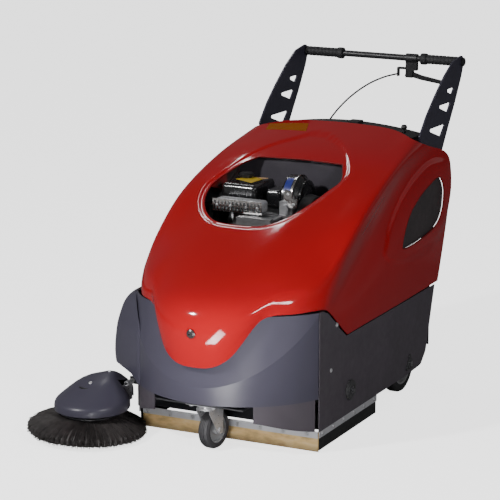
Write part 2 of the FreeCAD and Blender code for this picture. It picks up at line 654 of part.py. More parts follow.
# ---- engine, fan and filter ---------------------------------------------------------------
def engine_block():
    """Small horizontal-shaft petrol engine: crankcase, finned cylinder, carburettor and feet."""
    y, z0 = CRANK_Y, ENGINE_BASE_Z
    case = block(-150, 68, y - 85, y + 75, z0, z0 + 165)
    feet = block(-165, 68, y - 98, y + 90, z0, z0 + 14)
    nose = rod_x(45, -190, -150, y, CRANK_Z)
    fins = [block(-86, 26, y - 150 + 9 * i, y - 146 + 9 * i, z0 + 62, z0 + 162) for i in range(8)]
    barrel = block(-76, 16, y - 160, y - 80, z0 + 70, z0 + 154)
    head = block(-90, 30, y - 182, y - 158, z0 + 60, z0 + 168)
    plug = rod_y(7, -30, y - 212, y - 182, z0 + 120)
    carb = fused(block(14, 60, y - 80, y - 42, z0 + 160, z0 + 208), rod_y(14, 37, y - 96, y - 60, z0 + 186))
    engine = fused(case, feet, nose, barrel, head, plug, carb, *fins)
    sump = block(-140, 58, y - 75, y + 65, z0 + 14, z0 + 150)
    return engine.cut(sump).cut(rod_x(CRANK_R + RUN, -400, 400, y, CRANK_Z))


def fan_cover():
    """Round blower housing with the recoil starter in its middle, on the operator's left."""
    x0, centre_z = 71.0, CRANK_Z + 10
    profile = [(30, 0), (98, 0), (102, 8), (96, 40), (72, 52), (66, 62), (30, 62), (30, 58), (64, 58),
               (70, 48), (93, 36), (98, 8), (94, 4), (30, 4)]
    body = revolve(profile, V(x0, CRANK_Y, centre_z), X_AXIS, Z_AXIS)
    hub = Part.makeCylinder(31, 4, V(x0 + 58, CRANK_Y, centre_z), X_AXIS)
    slots = []
    for i in range(16):
        slot = block(x0 + 50, x0 + 70, -4, 4, 40, 60)
        slot.rotate(V(0, 0, 0), X_AXIS, 22.5 * i)
        slot.translate(V(0, CRANK_Y, centre_z))
        slots.append(slot)
    return fused(body, hub).cut(Part.makeCompound(slots))


def fuel_tank():
    """Box-shaped tank on the crankcase with rounded edges and a filler neck."""
    def box(inset, fillet):
        tank = block(TANK_X[0] + inset, TANK_X[1] - inset, TANK_Y[0] + inset, TANK_Y[1] - inset,
                     TANK_Z[0] + inset, TANK_Z[1] - inset)
        return tank.makeFillet(fillet, tank.Edges)
    neck = rod_z(18, CAP_X, CAP_Y, TANK_Z[1] - 2, TANK_Z[1] + 4)
    bore = rod_z(14, CAP_X, CAP_Y, TANK_Z[1] - 12, TANK_Z[1] + 18)
    legs = [block(-110, -90, y, y + 20, ENGINE_BASE_Z + 165, TANK_Z[0] + 1) for y in (380, 470)]
    return fused(box(0, 14), neck, *legs).cut(box(4, 11).fuse(bore))


def fuel_cap():
    z = TANK_Z[1] + 4.5
    cap = revolve([(0, 0), (24, 0), (24, 8), (20, 12), (0, 12)], V(CAP_X, CAP_Y, z))
    grips = [rod_z(3, CAP_X + 24 * math.cos(a), CAP_Y + 24 * math.sin(a), z + 1, z + 9)
             for a in [math.radians(45 * k) for k in range(8)]]
    return fused(cap, *grips)


def air_cleaner():
    """Round canister air cleaner beside the tank, its cover facing the operator's left."""
    profile = [(0, -6), (66, -6), (CANISTER_R, 0), (CANISTER_R, 34), (70, 42), (60, 52), (28, 58), (0, 60)]
    drum = revolve(profile, V(0, CANISTER_Y, CANISTER_Z), X_AXIS, Z_AXIS)
    duct = block(-56, -4, CANISTER_Y - 74, CANISTER_Y + 20, 664, 722)
    duct = duct.makeFillet(10, duct.Edges)
    crankcase_top = block(-160, 75, 300, 540, 560, ENGINE_BASE_Z + 165.5)
    blower = Part.makeCylinder(103, 70, V(70, CRANK_Y, CRANK_Z + 10), X_AXIS)
    return fused(drum, duct).cut(crankcase_top.fuse(blower))


def muffler():
    """Exhaust silencer above the cylinder, with a row of outlet slots in its guard."""
    can = block(-190, -20, CRANK_Y - 144, CRANK_Y - 88, 662, 702)
    can = can.makeFillet(11, can.Edges)
    slots = [block(-180 + 14 * i, -173 + 14 * i, CRANK_Y - 150, CRANK_Y - 138, 672, 692) for i in range(12)]
    foot = block(-60, -40, CRANK_Y - 140, CRANK_Y - 120, ENGINE_BASE_Z + 162, 664)
    return fused(can.cut(Part.makeCompound(slots)), foot)


def recoil_handle():
    """Pull grip of the recoil starter."""
    bar = block(118, 132, CRANK_Y - 114, CRANK_Y - 84, CRANK_Z + 80, CRANK_Z + 92)
    return bar.makeFillet(4, bar.Edges)


def crankshaft():
    """Crankshaft with its flywheel at one end and the belt pulley at the other."""
    shaft = rod_x(CRANK_R, -306.5, 120, CRANK_Y, CRANK_Z)
    flywheel = rod_x(82, 82, 104, CRANK_Y, CRANK_Z)
    return fused(shaft, flywheel, pulley(CRANK_PULLEY_R, BELT1_X, CRANK_Y, CRANK_Z, CRANK_R))


def fan_housing():
    """Drum round the vacuum fan, with its inlet duct from the filter box at the rear."""
    drum = rod_x(FAN_R + 12, FAN_X0, FAN_X1, CRANK_Y, CRANK_Z + 2)
    duct = block(FAN_X0 + 6, FAN_X1 - 4, CRANK_Y + 40, FILTER[2] - 1, 540, 605)
    foot = block(FAN_X0 + 6, FAN_X1 - 6, CRANK_Y - 40, CRANK_Y + 40, DECK_Z + DECK_T, CRANK_Z - 85)
    outlet = block(FAN_X0 + 8, FAN_X1 - 8, CRANK_Y - 130, CRANK_Y - 40, 625, 670)
    outer = fused(drum, duct, foot, outlet)
    hollow = fused(rod_x(FAN_R + 9, FAN_X0 + 3, FAN_X1 - 3, CRANK_Y, CRANK_Z + 2),
                   block(FAN_X0 + 9, FAN_X1 - 7, CRANK_Y + 40, FILTER[2] + 4, 543, 602),
                   block(FAN_X0 + 11, FAN_X1 - 11, CRANK_Y - 140, CRANK_Y - 40, 628, 667))
    return outer.cut(hollow).cut(rod_x(CRANK_R + 6, -400, 400, CRANK_Y, CRANK_Z))


def fan_impeller():
    disc = ring_x(FAN_R, CRANK_R, FAN_X0 + 12, FAN_X0 + 15, CRANK_Y, CRANK_Z)
    hub = ring_x(20, CRANK_R, FAN_X0 + 12, FAN_X1 - 14, CRANK_Y, CRANK_Z)
    blades = []
    for k in range(10):
        blade = block(FAN_X0 + 15, FAN_X1 - 16, -1.5, 1.5, 30, FAN_R - 2)
        blade.rotate(V(0, 0, 40), X_AXIS, 24)
        blade.rotate(V(0, 0, 0), X_AXIS, 36.0 * k)
        blade.translate(V(0, CRANK_Y, CRANK_Z))
        blades.append(blade.common(rod_x(FAN_R, -400, 0, CRANK_Y, CRANK_Z)))
    return fused(disc, hub, *blades)


def filter_box():
    x0, x1, y0, y1, z0, z1 = FILTER
    outer = block(x0, x1, y0, y1, z0, z1)
    inner = block(x0 + 3, x1 - 3, y0 + 3, y1 - 3, z0 - 1, z1 - 3)
    tabs = []
    for y in (y0 + 20, y1 - 60):
        tabs += both_sides(block(x1 - 6, 262, y, y + 34, RAIL_Z1, RAIL_Z1 + 3))
    box = fused(outer.cut(inner), *tabs)
    rod_hole = rod_y(6 + RUN, 0, y1 - 20, y1 + 20, 460)
    bars = [block(x0 + 3, x1 - 3, y, y + 6, 404, 410) for y in (y0 + 3, y1 - 9)]
    ports = block(-206, -120, y0 - 2, y0 + 5, 524, 581)
    return fused(box, *bars).cut(rod_hole).cut(ports)


def panel_filter():
    """Pleated panel: a comb of thin folds inside a frame."""
    x0, x1, y0, y1, _, _ = FILTER
    frame = block(x0 + 6, x1 - 6, y0 + 6, y1 - 6, 412, 418)
    pleats = [block(x0 + 12 + 16 * i, x0 + 18 + 16 * i, y0 + 12, y1 - 12, 418, 470) for i in range(25)]
    return fused(frame, *pleats)


def shaker_handle():
    """Rod with a ball that the operator pulls to shake the filter clean."""
    rod = rod_y(6, 0, 842, 985, 460)
    ball = Part.makeSphere(17, V(0, 995, 460))
    return fused(rod, ball)


# ---- hopper -------------------------------------------------------------------------------
def debris_hopper():
    """Steel drawer, open at the front and on top, that slides out to the rear on its flanges."""
    x = HOPPER_X
    outer = block(-x, x, HOPPER_Y0, HOPPER_Y1, HOPPER_Z0, HOPPER_Z1)
    inner = block(-x + 3, x - 3, HOPPER_Y0 - 5, HOPPER_Y1 - 3, HOPPER_Z0 + 3, HOPPER_Z1 + 5)
    lip = prism_x([(HOPPER_Y0, HOPPER_Z0), (HOPPER_Y0 + 40, HOPPER_Z0), (HOPPER_Y0 + 3, HOPPER_Z0 + 34),
                   (HOPPER_Y0, HOPPER_Z0 + 34)], -x + 1, x - 1)
    flanges = both_sides(block(x - 3, 243, HOPPER_Y0 + 20, HOPPER_Y1, HOPPER_Z1 - 3, HOPPER_Z1))
    back = block(-304, 304, HOPPER_Y1, HOPPER_Y1 + 4, 112, 333)
    return fused(outer.cut(inner), lip, back, *flanges)


def hopper_handle():
    y = HOPPER_Y1 + 4
    bar = rod_x(8, -80, 80, y + 32, 250)
    legs = [block(a, a + 10, y, y + 32, 243, 257) for a in (-80, 70)]
    return fused(bar, *legs)


# ---- hood ---------------------------------------------------------------------------------
def hood_grid():
    """Rows run from the -X lower edge over the top to the +X lower edge."""
    right = [[V(*p) for p in line] for line in HOOD_LINES]
    left = [[V(-p.x, p.y, p.z) for p in line] for line in reversed(right[1:])]
    return refine([list(column) for column in zip(*(left + right))], 3, 2)


def hood():
    """Moulded skin with the engine window and a crescent vent in each rear fender."""
    grid = hood_grid()
    shell = skin(smooth_face(grid), smooth_face(offset_grid(grid, HOOD_T)))
    window = rounded_window(600.0)
    shell = shell.cut(window.extrude(V(0, 0, 400)))
    for vent in both_sides(crescent(300, 340)):
        shell = shell.cut(vent)
    pin_hole = rod_x(HINGE_R + RUN, -340, 340, HINGE_Y, HINGE_Z)
    lock_hole = rod_y(9 + RUN, 0, -270, -200, NOSE_LOCK_Z)
    return shell.cut(Part.makeCompound([pin_hole, lock_hole]))


# plan outline of the engine window: straight rear edge, the rest one sweep, fuller on the exhaust side
WINDOW = [(148, 548), (180, 476), (184, 440), (168, 386), (141, 304), (101, 221), (60, 178), (20, 160),
          (-55, 158), (-129, 174), (-186, 224), (-224, 284), (-240, 340), (-240, 390), (-222, 440),
          (-192, 505), (-156, 548)]


def rounded_window(z):
    points = [V(x, y, z) for x, y in WINDOW]
    return Part.Face(Part.Wire([curve(points), Part.LineSegment(points[-1], points[0]).toShape()]))


# outline of the crescent vent in a rear fender, (y, z), and the point it shrinks towards
CRESCENT = [(978, 686), (1002, 640), (985, 572), (925, 532), (800, 513), (700, 508), (640, 512),
            (634, 528), (660, 575), (714, 626), (800, 664), (885, 686), (940, 695)]
CRESCENT_CENTRE = (860.0, 600.0)


def crescent(x0, x1, scale=1.0):
    cy, cz = CRESCENT_CENTRE
    points = [V(x0, cy + (y - cy) * scale, cz + (z - cz) * scale) for y, z in CRESCENT]
    outline = Part.BSplineCurve()
    outline.interpolate(Points=points, PeriodicFlag=True)
    return Part.Face(Part.Wire(outline.toShape())).extrude(V(x1 - x0, 0, 0))


def side_grilles():
    """Slatted insert in each crescent vent, riding on the hood."""
    rim = crescent(310, 316, 0.985).cut(crescent(309, 317, 0.90))
    inside = crescent(311, 315, 0.93)
    slats = [block(311, 315, 600, 1040, 505 + 16 * i, 511 + 16 * i).common(inside) for i in range(12)]
    grille = fused(rim, *[slat for slat in slats if slat.Solids])
    return Part.makeCompound(both_sides(grille))


def nose_lock():
    """Quarter-turn lock in the nose of the hood, with its cam behind the skin."""
    z = NOSE_LOCK_Z
    head = revolve([(0, 0), (14, 0), (14, 3), (9, 6), (0, 6)], V(0, -238.5, z), Y_AXIS * -1, X_AXIS)
    slot = block(-10, 10, -246, -241.5, z - 1.5, z + 1.5)
    barrel = rod_y(9, 0, -238.5, -205, z)
    cam = block(-8, 8, -211, -207, z - 26, z)
    return fused(head, barrel, cam).cut(slot)


# ---- rear panel and controls --------------------------------------------------------------
def control_panel():
    """Crowned moulding that closes the back of the engine bay and carries the throttle."""
    top = prism_x([(870, 900), (935, 882), (975, 826), (975, 640), (870, 640)], -256, 256)
    inner = prism_x([(869, 890), (933, 877), (971, 824), (971, 639), (869, 639)], -252, 252)
    crown_r = 1150.0
    big = rod_y(crown_r, 0, 800, 1100, 866 - crown_r)
    small = rod_y(crown_r - 4, 0, 800, 1100, 866 - crown_r)
    panel = top.common(big).cut(inner.common(small))
    feet = both_sides(block(250, 264, 950, 974, 645, 675))
    pod = block(12, 52, 884, 930, 862, 873)
    slot = block(207, 217, 884, 930, 800, 900)
    cable_hole = rod_y(CABLE_R + 1.5, -126, 960, 990, 807)
    return fused(panel, pod.cut(small), *feet).cut(slot).cut(cable_hole)


def throttle_lever():
    """Lever that swings fore and aft in the panel's slot."""
    y, z = 907, 800
    blade = prism_x([(y - 5, z), (y + 5, z), (y + 4, z + 60), (y - 4, z + 60)], 210, 214)
    knob = revolve([(0, 0), (9, 2), (11, 9), (8, 16), (0, 18)], V(212, y, z + 56))
    boss = rod_x(9, 209, 215, y, z)
    return fused(blade, knob, boss)


# ---- handle -------------------------------------------------------------------------------
ARM_OUTLINE = [(1229, 1054), (1205, 1001), (1146, 914), (1086, 836), (1037, 769), (1004, 706), (1000, 650),
               (945, 650), (905, 740), (842, 838), (836, 850), (896, 911), (968, 967), (1050, 1023),
               (1126, 1062), (1209, 1073)]
ARM_RADII = [18, 0, 0, 0, 60, 60, 12, 12, 60, 6, 6, 0, 0, 0, 60, 20]
ARM_HOLES = [[(1052, 974), (1143, 973), (1118, 950)],
             [(980, 929), (1111, 926), (1082, 894)],
             [(897, 862), (1064, 858), (1022, 820)]]
ARM_BOLTS = [(965, 672), (985, 712)]


def handle_arm(side):
    """Flat slotted arm from the frame's post up to the handlebar."""
    x0, x1 = ARM_X - ARM_T / 2, ARM_X + ARM_T / 2
    arm = prism_x(ARM_OUTLINE, x0, x1, ARM_RADII)
    cuts = [prism_x(hole, x0 - 1, x1 + 1, [5, 5, 5]) for hole in ARM_HOLES]
    cuts.append(rod_x(BAR_R, x0 - 1, x1 + 1, BAR_Y, BAR_Z))
    cuts += [rod_x(4.1, x0 - 1, x1 + 1, y, z) for y, z in ARM_BOLTS]
    pin = rod_x(HINGE_R, x1, x1 + 16, HINGE_Y, HINGE_Z)
    arm = arm.cut(Part.makeCompound(cuts)).fuse(pin)
    return arm if side == "left" else mirror_x(arm)


def handle_bar():
    """Cross tube with a plug and bolt in each end."""
    tube = ring_x(BAR_R, BAR_R - 2.5, -302, 302, BAR_Y, BAR_Z)
    bore_r = BAR_R - 2.5
    caps = both_sides(revolve([(0, -12), (bore_r, -12), (bore_r, 0), (15, 0), (15, 3), (11, 6), (0, 7)],
                              V(302, BAR_Y, BAR_Z), X_AXIS, Z_AXIS))
    return fused(tube, *caps)


def grips():
    """Rubber grip with a flange at its inner end, one on each side of the bar."""
    profile = [(BAR_R, 0), (19, 0), (20, 3), (20, 17), (19, 20), (GRIP_R - 1, 22)]
    steps = 8
    for i in range(steps):
        a = 22 + 14 * i
        profile += [(GRIP_R, a + 4), (GRIP_R, a + 10), (GRIP_R - 1, a + 14)]
    profile += [(GRIP_R, 138), (GRIP_R, 141), (14, 144), (BAR_R, 144)]
    return Part.makeCompound(both_sides(revolve(profile, V(148, BAR_Y, BAR_Z), X_AXIS, Z_AXIS)))


def lever_bracket():
    """Clamp on the bar with two cheeks that hold the clutch lever's pin."""
    clamp = ring_x(16, BAR_R, 92, 133, BAR_Y, BAR_Z)
    neck = block(92, 133, BAR_Y - 9, BAR_Y + 9, 1008, 1036)
    cheeks = [block(92, 118, BAR_Y + a, BAR_Y + a + 3, 982, 1010) for a in (-9, 6)]
    stop = block(60, 92, BAR_Y - 9, BAR_Y + 9, 1010, 1016)
    anchor = block(60, 64, BAR_Y - 9, BAR_Y + 9, 984, 1012)
    pin = rod_y(4, LEVER_X, BAR_Y - 9, BAR_Y + 9, LEVER_Z)
    bracket = fused(clamp, neck, stop, anchor, pin, *cheeks)
    return bracket.cut(rod_x(BAR_R, 50, 150, BAR_Y, BAR_Z)).cut(rod_x(CABLE_R + 0.6, 40, 70, BAR_Y, 992))


def clutch_lever():
    """Bent lever under the bar; squeezing it lifts its tail towards the grip."""
    outline = [(92, 1000), (112, 1003), (150, 992), (226, 979), (232, 972),
               (226, 966), (150, 976), (112, 984), (98, 982), (86, 986)]
    wire = rounded_wire([V(x, BAR_Y, z) for x, z in outline], [4, 0, 20, 4, 5, 4, 20, 0, 4, 4])
    blade = Part.Face(wire).extrude(V(0, 8, 0))
    blade.translate(V(0, -4, 0))
    return blade.cut(rod_y(4 + RUN, LEVER_X, BAR_Y - 20, BAR_Y + 20, LEVER_Z))


CABLE_ROUTE = [(60, 1209, 992), (18, 1198, 981), (-26, 1180, 961), (-64, 1156, 934), (-95, 1127, 903),
               (-115, 1093, 873), (-125, 1055, 846), (-127, 1016, 824), (-126, 975, 807)]


def tube_path(points):
    """Straight runs joined by the largest tangent arcs that fit, and the arcs' radii."""
    edges, radii = [], []
    start = points[0]
    for i in range(1, len(points) - 1):
        before, corner, after = points[i - 1], points[i], points[i + 1]
        run = 0.45 * min(before.distanceToPoint(corner), corner.distanceToPoint(after))
        a, b = before - corner, after - corner
        a.normalize()
        b.normalize()
        half = 0.5 * a.getAngle(b)
        radius = run * math.tan(half)
        bisector = a + b
        bisector.normalize()
        mid = corner + bisector * (radius / math.sin(half) - radius)
        enter, leave = corner + a * run, corner + b * run
        edges.append(Part.LineSegment(start, enter).toShape())
        edges.append(Part.Arc(enter, mid, leave).toShape())
        radii.append(round(radius, 1))
        start = leave
    edges.append(Part.LineSegment(start, points[-1]).toShape())
    return Part.Wire(edges), radii


def clutch_cable():
    """Bowden cable from the lever bracket down to the rear panel."""
    points = [V(*p) for p in CABLE_ROUTE]
    path, radii = tube_path(points)
    print("route: clutch cable arc radii, mm:", radii, "length, mm:", round(path.Length, 1))
    tangent = points[1] - points[0]
    circle = Part.Wire([Part.makeCircle(CABLE_R, points[0], tangent)])
    cable = path.makePipeShell([circle], True, True)
    print("route: cable volume / (section x length):",
          round(cable.Volume / (math.pi * CABLE_R ** 2 * path.Length), 3))
    return cable


# ---- front caster -------------------------------------------------------------------------
def turned(shape):
    return at(shape, V(CASTER_X, CASTER_Y, 0), CASTER_TURN, Z_AXIS)


def caster_plate():
    """Bolted top plate with the upper race and the king pin."""
    plate = block(-52, 52, CASTER_Y - 43, CASTER_Y + 43, CASTER_TOP - 5, CASTER_TOP)
    race = rod_z(30, CASTER_X, CASTER_Y, CASTER_TOP - 15, CASTER_TOP - 5)
    pin = rod_z(7, CASTER_X, CASTER_Y, CASTER_TOP - 30, CASTER_TOP - 15)
    holes = [rod_z(5.2, x, y, 140, 170) for x, y in caster_bolt_places()]
    return fused(plate, race, pin).cut(Part.makeCompound(holes))


def caster_fork():
    """Pressed fork with two tapering legs and the axle bolt."""
    crown_z = CASTER_TOP - 21
    axle_y = CASTER_Y + CASTER_TRAIL
    crown = rod_z(31, CASTER_X, CASTER_Y, crown_z - 3, crown_z + 5)
    web = block(-26, 26, CASTER_Y, axle_y + 6, crown_z - 3, crown_z)
    legs = []
    for x0 in (-26.0, 23.0):
        leg = [(CASTER_Y - 20, crown_z), (CASTER_Y - 20, crown_z - 12), (axle_y - 14, CASTER_R - 4),
               (axle_y, CASTER_R - 16), (axle_y + 14, CASTER_R - 4), (axle_y + 16, crown_z)]
        legs.append(prism_x(leg, x0, x0 + 3, [0, 8, 10, 12, 10, 0]))
    axle = rod_x(6, -31, 31, axle_y, CASTER_R)
    nuts = [rod_x(10, a, a + 5, axle_y, CASTER_R) for a in (-31, 26)]
    fork = fused(crown, web, axle, *legs, *nuts)
    return turned(fork.cut(rod_z(7 + RUN, CASTER_X, CASTER_Y, crown_z - 20, crown_z + 20)))


def caster_wheel():
    y = CASTER_Y + CASTER_TRAIL
    hub = fused(ring_x(44, 38, -15, 15, y, CASTER_R), ring_x(40, 12, -3, 3, y, CASTER_R),
                rod_x(16, -21, 21, y, CASTER_R))
    return turned(hub.cut(rod_x(6 + RUN, -40, 40, y, CASTER_R)))


def caster_tyre():
    y = CASTER_Y + CASTER_TRAIL
    tyre = wheel_profile_ring(CASTER_X, y, CASTER_R, CASTER_R, 44, CASTER_W, 10)
    grooves = [ring_x(CASTER_R + 1, CASTER_R - 1.5, a - 1, a + 1, y, CASTER_R) for a in (-6, 0, 6)]
    return turned(tyre.cut(Part.makeCompound(grooves)))


# ---- side brush ---------------------------------------------------------------------------
SIDE_TILT_AXIS = V(1, -1, 0)


def tilted(shape):
    return at(shape, V(SIDE_X, SIDE_Y, 60), -SIDE_TILT, SIDE_TILT_AXIS)


def side_spindle_axis():
    """Unit vector of the disc brush's leaning axis."""
    turn = FreeCAD.Rotation(SIDE_TILT_AXIS, -SIDE_TILT)
    return turn.multVec(Z_AXIS)


def side_brush_bristles():
    profile = [(42, 46), (86, 44), (122, 30), (150, 9), (SIDE_R, 9),
               (SIDE_R, 40), (150, 56), (95, 68), (42, 72)]
    return tilted(revolve(profile, V(SIDE_X, SIDE_Y, 0)))


def side_brush_hub():
    """Plastic backplate that holds the bristles, with the spindle boss."""
    plate = revolve([(0, 73), (88, 71), (88, 75), (60, 82), (0, 82)], V(SIDE_X, SIDE_Y, 0))
    boss = revolve([(0, 30), (34, 30), (40, 46), (40, 73), (0, 73)], V(SIDE_X, SIDE_Y, 0))
    spindle = rod_z(6, SIDE_X, SIDE_Y, 80, 104)
    return tilted(fused(plate, boss, spindle))


def side_brush_motor():
    """Gear motor that stands on the arm's plate, its output boss just above the hub."""
    can = rod_z(32, SIDE_X, SIDE_Y, 101, 160)
    gearbox = rod_z(42, SIDE_X, SIDE_Y, 92.3, 101)
    motor = fused(can, gearbox, rod_z(12, SIDE_X, SIDE_Y, 84, 93))
    return tilted(motor.cut(rod_z(6 + RUN, SIDE_X, SIDE_Y, 80, 106)))


def teardrop(z, r_big, r_small, inset, cx, cy, px, py):
    """Closed outline round two circles, the big one over the disc and the small one at the hinge."""
    ra, rb = r_big - inset, r_small - inset
    dx, dy = px - cx, py - cy
    dist = math.hypot(dx, dy)
    base = math.atan2(dy, dx)
    lean = math.acos((ra - rb) / dist)

    def point(x, y, r, a):
        return V(x + r * math.cos(a), y + r * math.sin(a), z)

    a1, a2 = point(cx, cy, ra, base + lean), point(cx, cy, ra, base - lean)
    b1, b2 = point(px, py, rb, base + lean), point(px, py, rb, base - lean)
    return Part.Wire([Part.Arc(a1, point(cx, cy, ra, base + math.pi), a2).toShape(),
                      Part.LineSegment(a2, b2).toShape(),
                      Part.Arc(b2, point(px, py, rb, base), b1).toShape(),
                      Part.LineSegment(b1, a1).toShape()])


def side_brush_cover():
    """Teardrop dome over the motor, open below."""
    def solid(inset, drop):
        wires = [teardrop(z - (drop if i else 1.0 if drop else 0.0), rb, rs, inset, c[0], c[1], p[0], p[1])
                 for i, (z, rb, rs, c, p) in enumerate(COVER_LEVELS)]
        return Part.makeLoft(wires, True, False)
    dome = solid(0, 0).cut(solid(3.0, 3.0))
    screws = [rod_z(4.2, x, y, 120, 200) for x, y in COVER_SCREWS]
    hinge_gap = block(-345, -250, -80, 60, 80, 200).fuse(block(-352, -250, -120, 60, 80, 98))
    return dome.cut(hinge_gap).cut(Part.makeCompound(screws))


def side_brush_arm():
    """Bracket from the hinge at the body's front corner to the motor plate."""
    hx, hz = SIDE_HINGE_X, SIDE_HINGE_Z
    plate = tilted(rod_z(60, SIDE_X, SIDE_Y, 88, 92).cut(rod_z(14, SIDE_X, SIDE_Y, 80, 100)))
    knuckle = rod_y(8, hx, -54, -14, hz)
    web = block(hx - 4, hx, -76, -14, 90, hz)
    foot = block(-412, hx, -76, -36, 90, 94).fuse(block(-412, -384, -102, -70, 90, 94))
    arm = fused(plate, knuckle, web, foot)
    return arm.cut(rod_y(4 + RUN, hx, -80, 20, hz))


def battery():
    """Starter battery in the nose, behind the bumper."""
    case = block(-88, 88, -118, 4, CASTER_TOP + 5, CASTER_TOP + 125)
    case = case.makeFillet(5, [e for e in case.Edges if abs(e.tangentAt(e.FirstParameter).z) > 0.9])
    posts = [rod_z(7, a, -20, CASTER_TOP + 125, CASTER_TOP + 141) for a in (-62, 62)]
    return fused(case, *posts)


def nodes():
    """Every node's name and shape, in the layout frame."""
    return {
        "chassis_frame": chassis_frame(), "brush_housing": brush_housing(),
        "side_plate_left": side_plate("left"), "side_plate_right": side_plate("right"),
        "front_bumper": front_bumper(), "lower_skirts": lower_skirts(),
        "front_flap": front_flap(), "rubber_flaps": rubber_flaps(), "clamp_strips": clamp_strips(),
        "body_bolts": body_bolts(), "battery": battery(),
        "brush_core": brush_core(), "brush_bristles": brush_bristles(), "brush_shaft": brush_shaft(),
        "flange_bearings": flange_bearings(),
        "tyre_left": rear_tyre("left"), "rim_left": rear_rim("left"),
        "tyre_right": rear_tyre("right"), "rim_right": rear_rim("right"), "drive_axle": drive_axle(),
        "brush_belt": brush_belt(), "drive_belt": drive_belt(),
        "idler_arm": idler_arm(), "idler_roller": idler_roller(),
        "engine_block": engine_block(), "fan_cover": fan_cover(), "fuel_tank": fuel_tank(),
        "fuel_cap": fuel_cap(), "air_cleaner": air_cleaner(), "muffler": muffler(),
        "recoil_handle": recoil_handle(), "crankshaft": crankshaft(),
        "fan_housing": fan_housing(), "fan_impeller": fan_impeller(),
        "filter_box": filter_box(), "panel_filter": panel_filter(), "shaker_handle": shaker_handle(),
        "debris_hopper": debris_hopper(), "hopper_handle": hopper_handle(),
        "hood": hood(), "side_grilles": side_grilles(), "nose_lock": nose_lock(),
        "control_panel": control_panel(), "throttle_lever": throttle_lever(),
        "handle_arm_left": handle_arm("left"), "handle_arm_right": handle_arm("right"),
        "handle_bar": handle_bar(), "grips": grips(), "lever_bracket": lever_bracket(),
        "clutch_lever": clutch_lever(), "clutch_cable": clutch_cable(),
        "caster_plate": caster_plate(), "caster_fork": caster_fork(),
        "caster_wheel": caster_wheel(), "caster_tyre": caster_tyre(),
        "side_brush_arm": side_brush_arm(), "side_brush_cover": side_brush_cover(),
        "side_brush_motor": side_brush_motor(), "side_brush_hub": side_brush_hub(),
        "side_brush_bristles": side_brush_bristles(),
    }


def origin_of(shapes):
    """Middle of the whole object's box at floor level."""
    box = FreeCAD.BoundBox()
    for shape in shapes:
        box.add(shape.optimalBoundingBox(False))
    return V((box.XMin + box.XMax) / 2, (box.YMin + box.YMax) / 2, box.ZMin)


def main():
    os.makedirs("parts", exist_ok=True)
    shapes = nodes()
    origin = origin_of(shapes.values())
    print("origin in the layout frame:", [round(c, 3) for c in origin])
    for name, shape in shapes.items():
        shape.translate(origin * -1)
        shape.exportStep("parts/%s.step" % name)


if __name__ == "__main__":
    main()
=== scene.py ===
"""Looks of the walk-behind sweeper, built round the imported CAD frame."""

import bmesh
import bpy
import json
import math
import random
import numpy as np
from mathutils import Matrix, Quaternion, Vector
from mathutils.bvhtree import BVHTree


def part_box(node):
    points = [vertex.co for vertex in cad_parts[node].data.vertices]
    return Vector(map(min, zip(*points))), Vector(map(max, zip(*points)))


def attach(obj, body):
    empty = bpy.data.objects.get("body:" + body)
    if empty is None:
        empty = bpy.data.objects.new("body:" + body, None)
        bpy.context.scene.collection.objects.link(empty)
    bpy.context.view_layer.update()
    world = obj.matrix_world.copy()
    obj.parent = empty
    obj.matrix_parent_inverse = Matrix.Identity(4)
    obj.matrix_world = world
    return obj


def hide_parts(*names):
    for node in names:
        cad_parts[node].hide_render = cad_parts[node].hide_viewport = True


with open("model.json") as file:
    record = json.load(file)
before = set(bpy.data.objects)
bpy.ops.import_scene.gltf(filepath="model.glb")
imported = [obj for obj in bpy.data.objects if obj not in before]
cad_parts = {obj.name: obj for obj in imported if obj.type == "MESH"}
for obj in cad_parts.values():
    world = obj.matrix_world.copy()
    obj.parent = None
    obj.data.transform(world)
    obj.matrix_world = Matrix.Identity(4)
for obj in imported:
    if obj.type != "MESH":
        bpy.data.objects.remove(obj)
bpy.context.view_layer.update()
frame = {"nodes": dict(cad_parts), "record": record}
rng = random.Random(7)

# ---- layout coordinates --------------------------------------------------------------------
# Sizes below are in millimetres in the machine's own layout: x = 0 on the mid-plane, y = 0 at the
# front rubber flap, z = 0 on the floor. SHIFT carries them into the frame.
_left, _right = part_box("side_plate_left"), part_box("side_plate_right")
SHIFT = Vector(((_left[1].x + _right[0].x) / 2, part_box("front_flap")[0].y, 0.0))


def L(x, y, z):
    return Vector((x, y, z)) / 1000 + SHIFT


# ---- materials -------------------------------------------------------------------------------
def new_material(name):
    mat = bpy.data.materials.new(name)
    mat.use_nodes = True
    tree = mat.node_tree
    return mat, tree, tree.nodes["Principled BSDF"]


def noise(tree, scale, detail=4.0, stretch=(1, 1, 1), rough=0.55):
    coords = tree.nodes.new("ShaderNodeTexCoord")
    mapping = tree.nodes.new("ShaderNodeMapping")
    mapping.inputs["Scale"].default_value = stretch
    tex = tree.nodes.new("ShaderNodeTexNoise")
    tex.inputs["Scale"].default_value = scale
    tex.inputs["Detail"].default_value = detail
    tex.inputs["Roughness"].default_value = rough
    tree.links.new(coords.outputs["Object"], mapping.inputs["Vector"])
    tree.links.new(mapping.outputs["Vector"], tex.inputs["Vector"])
    return tex.outputs["Fac"]


def ramp(tree, fac, stops):
    node = tree.nodes.new("ShaderNodeValToRGB")
    node.color_ramp.elements[0].position, node.color_ramp.elements[0].color = stops[0][0], (*stops[0][1], 1)
    node.color_ramp.elements[1].position, node.color_ramp.elements[1].color = stops[-1][0], (*stops[-1][1], 1)
    for position, colour in stops[1:-1]:
        node.color_ramp.elements.new(position).color = (*colour, 1)
    tree.links.new(fac, node.inputs["Fac"])
    return node.outputs["Color"]


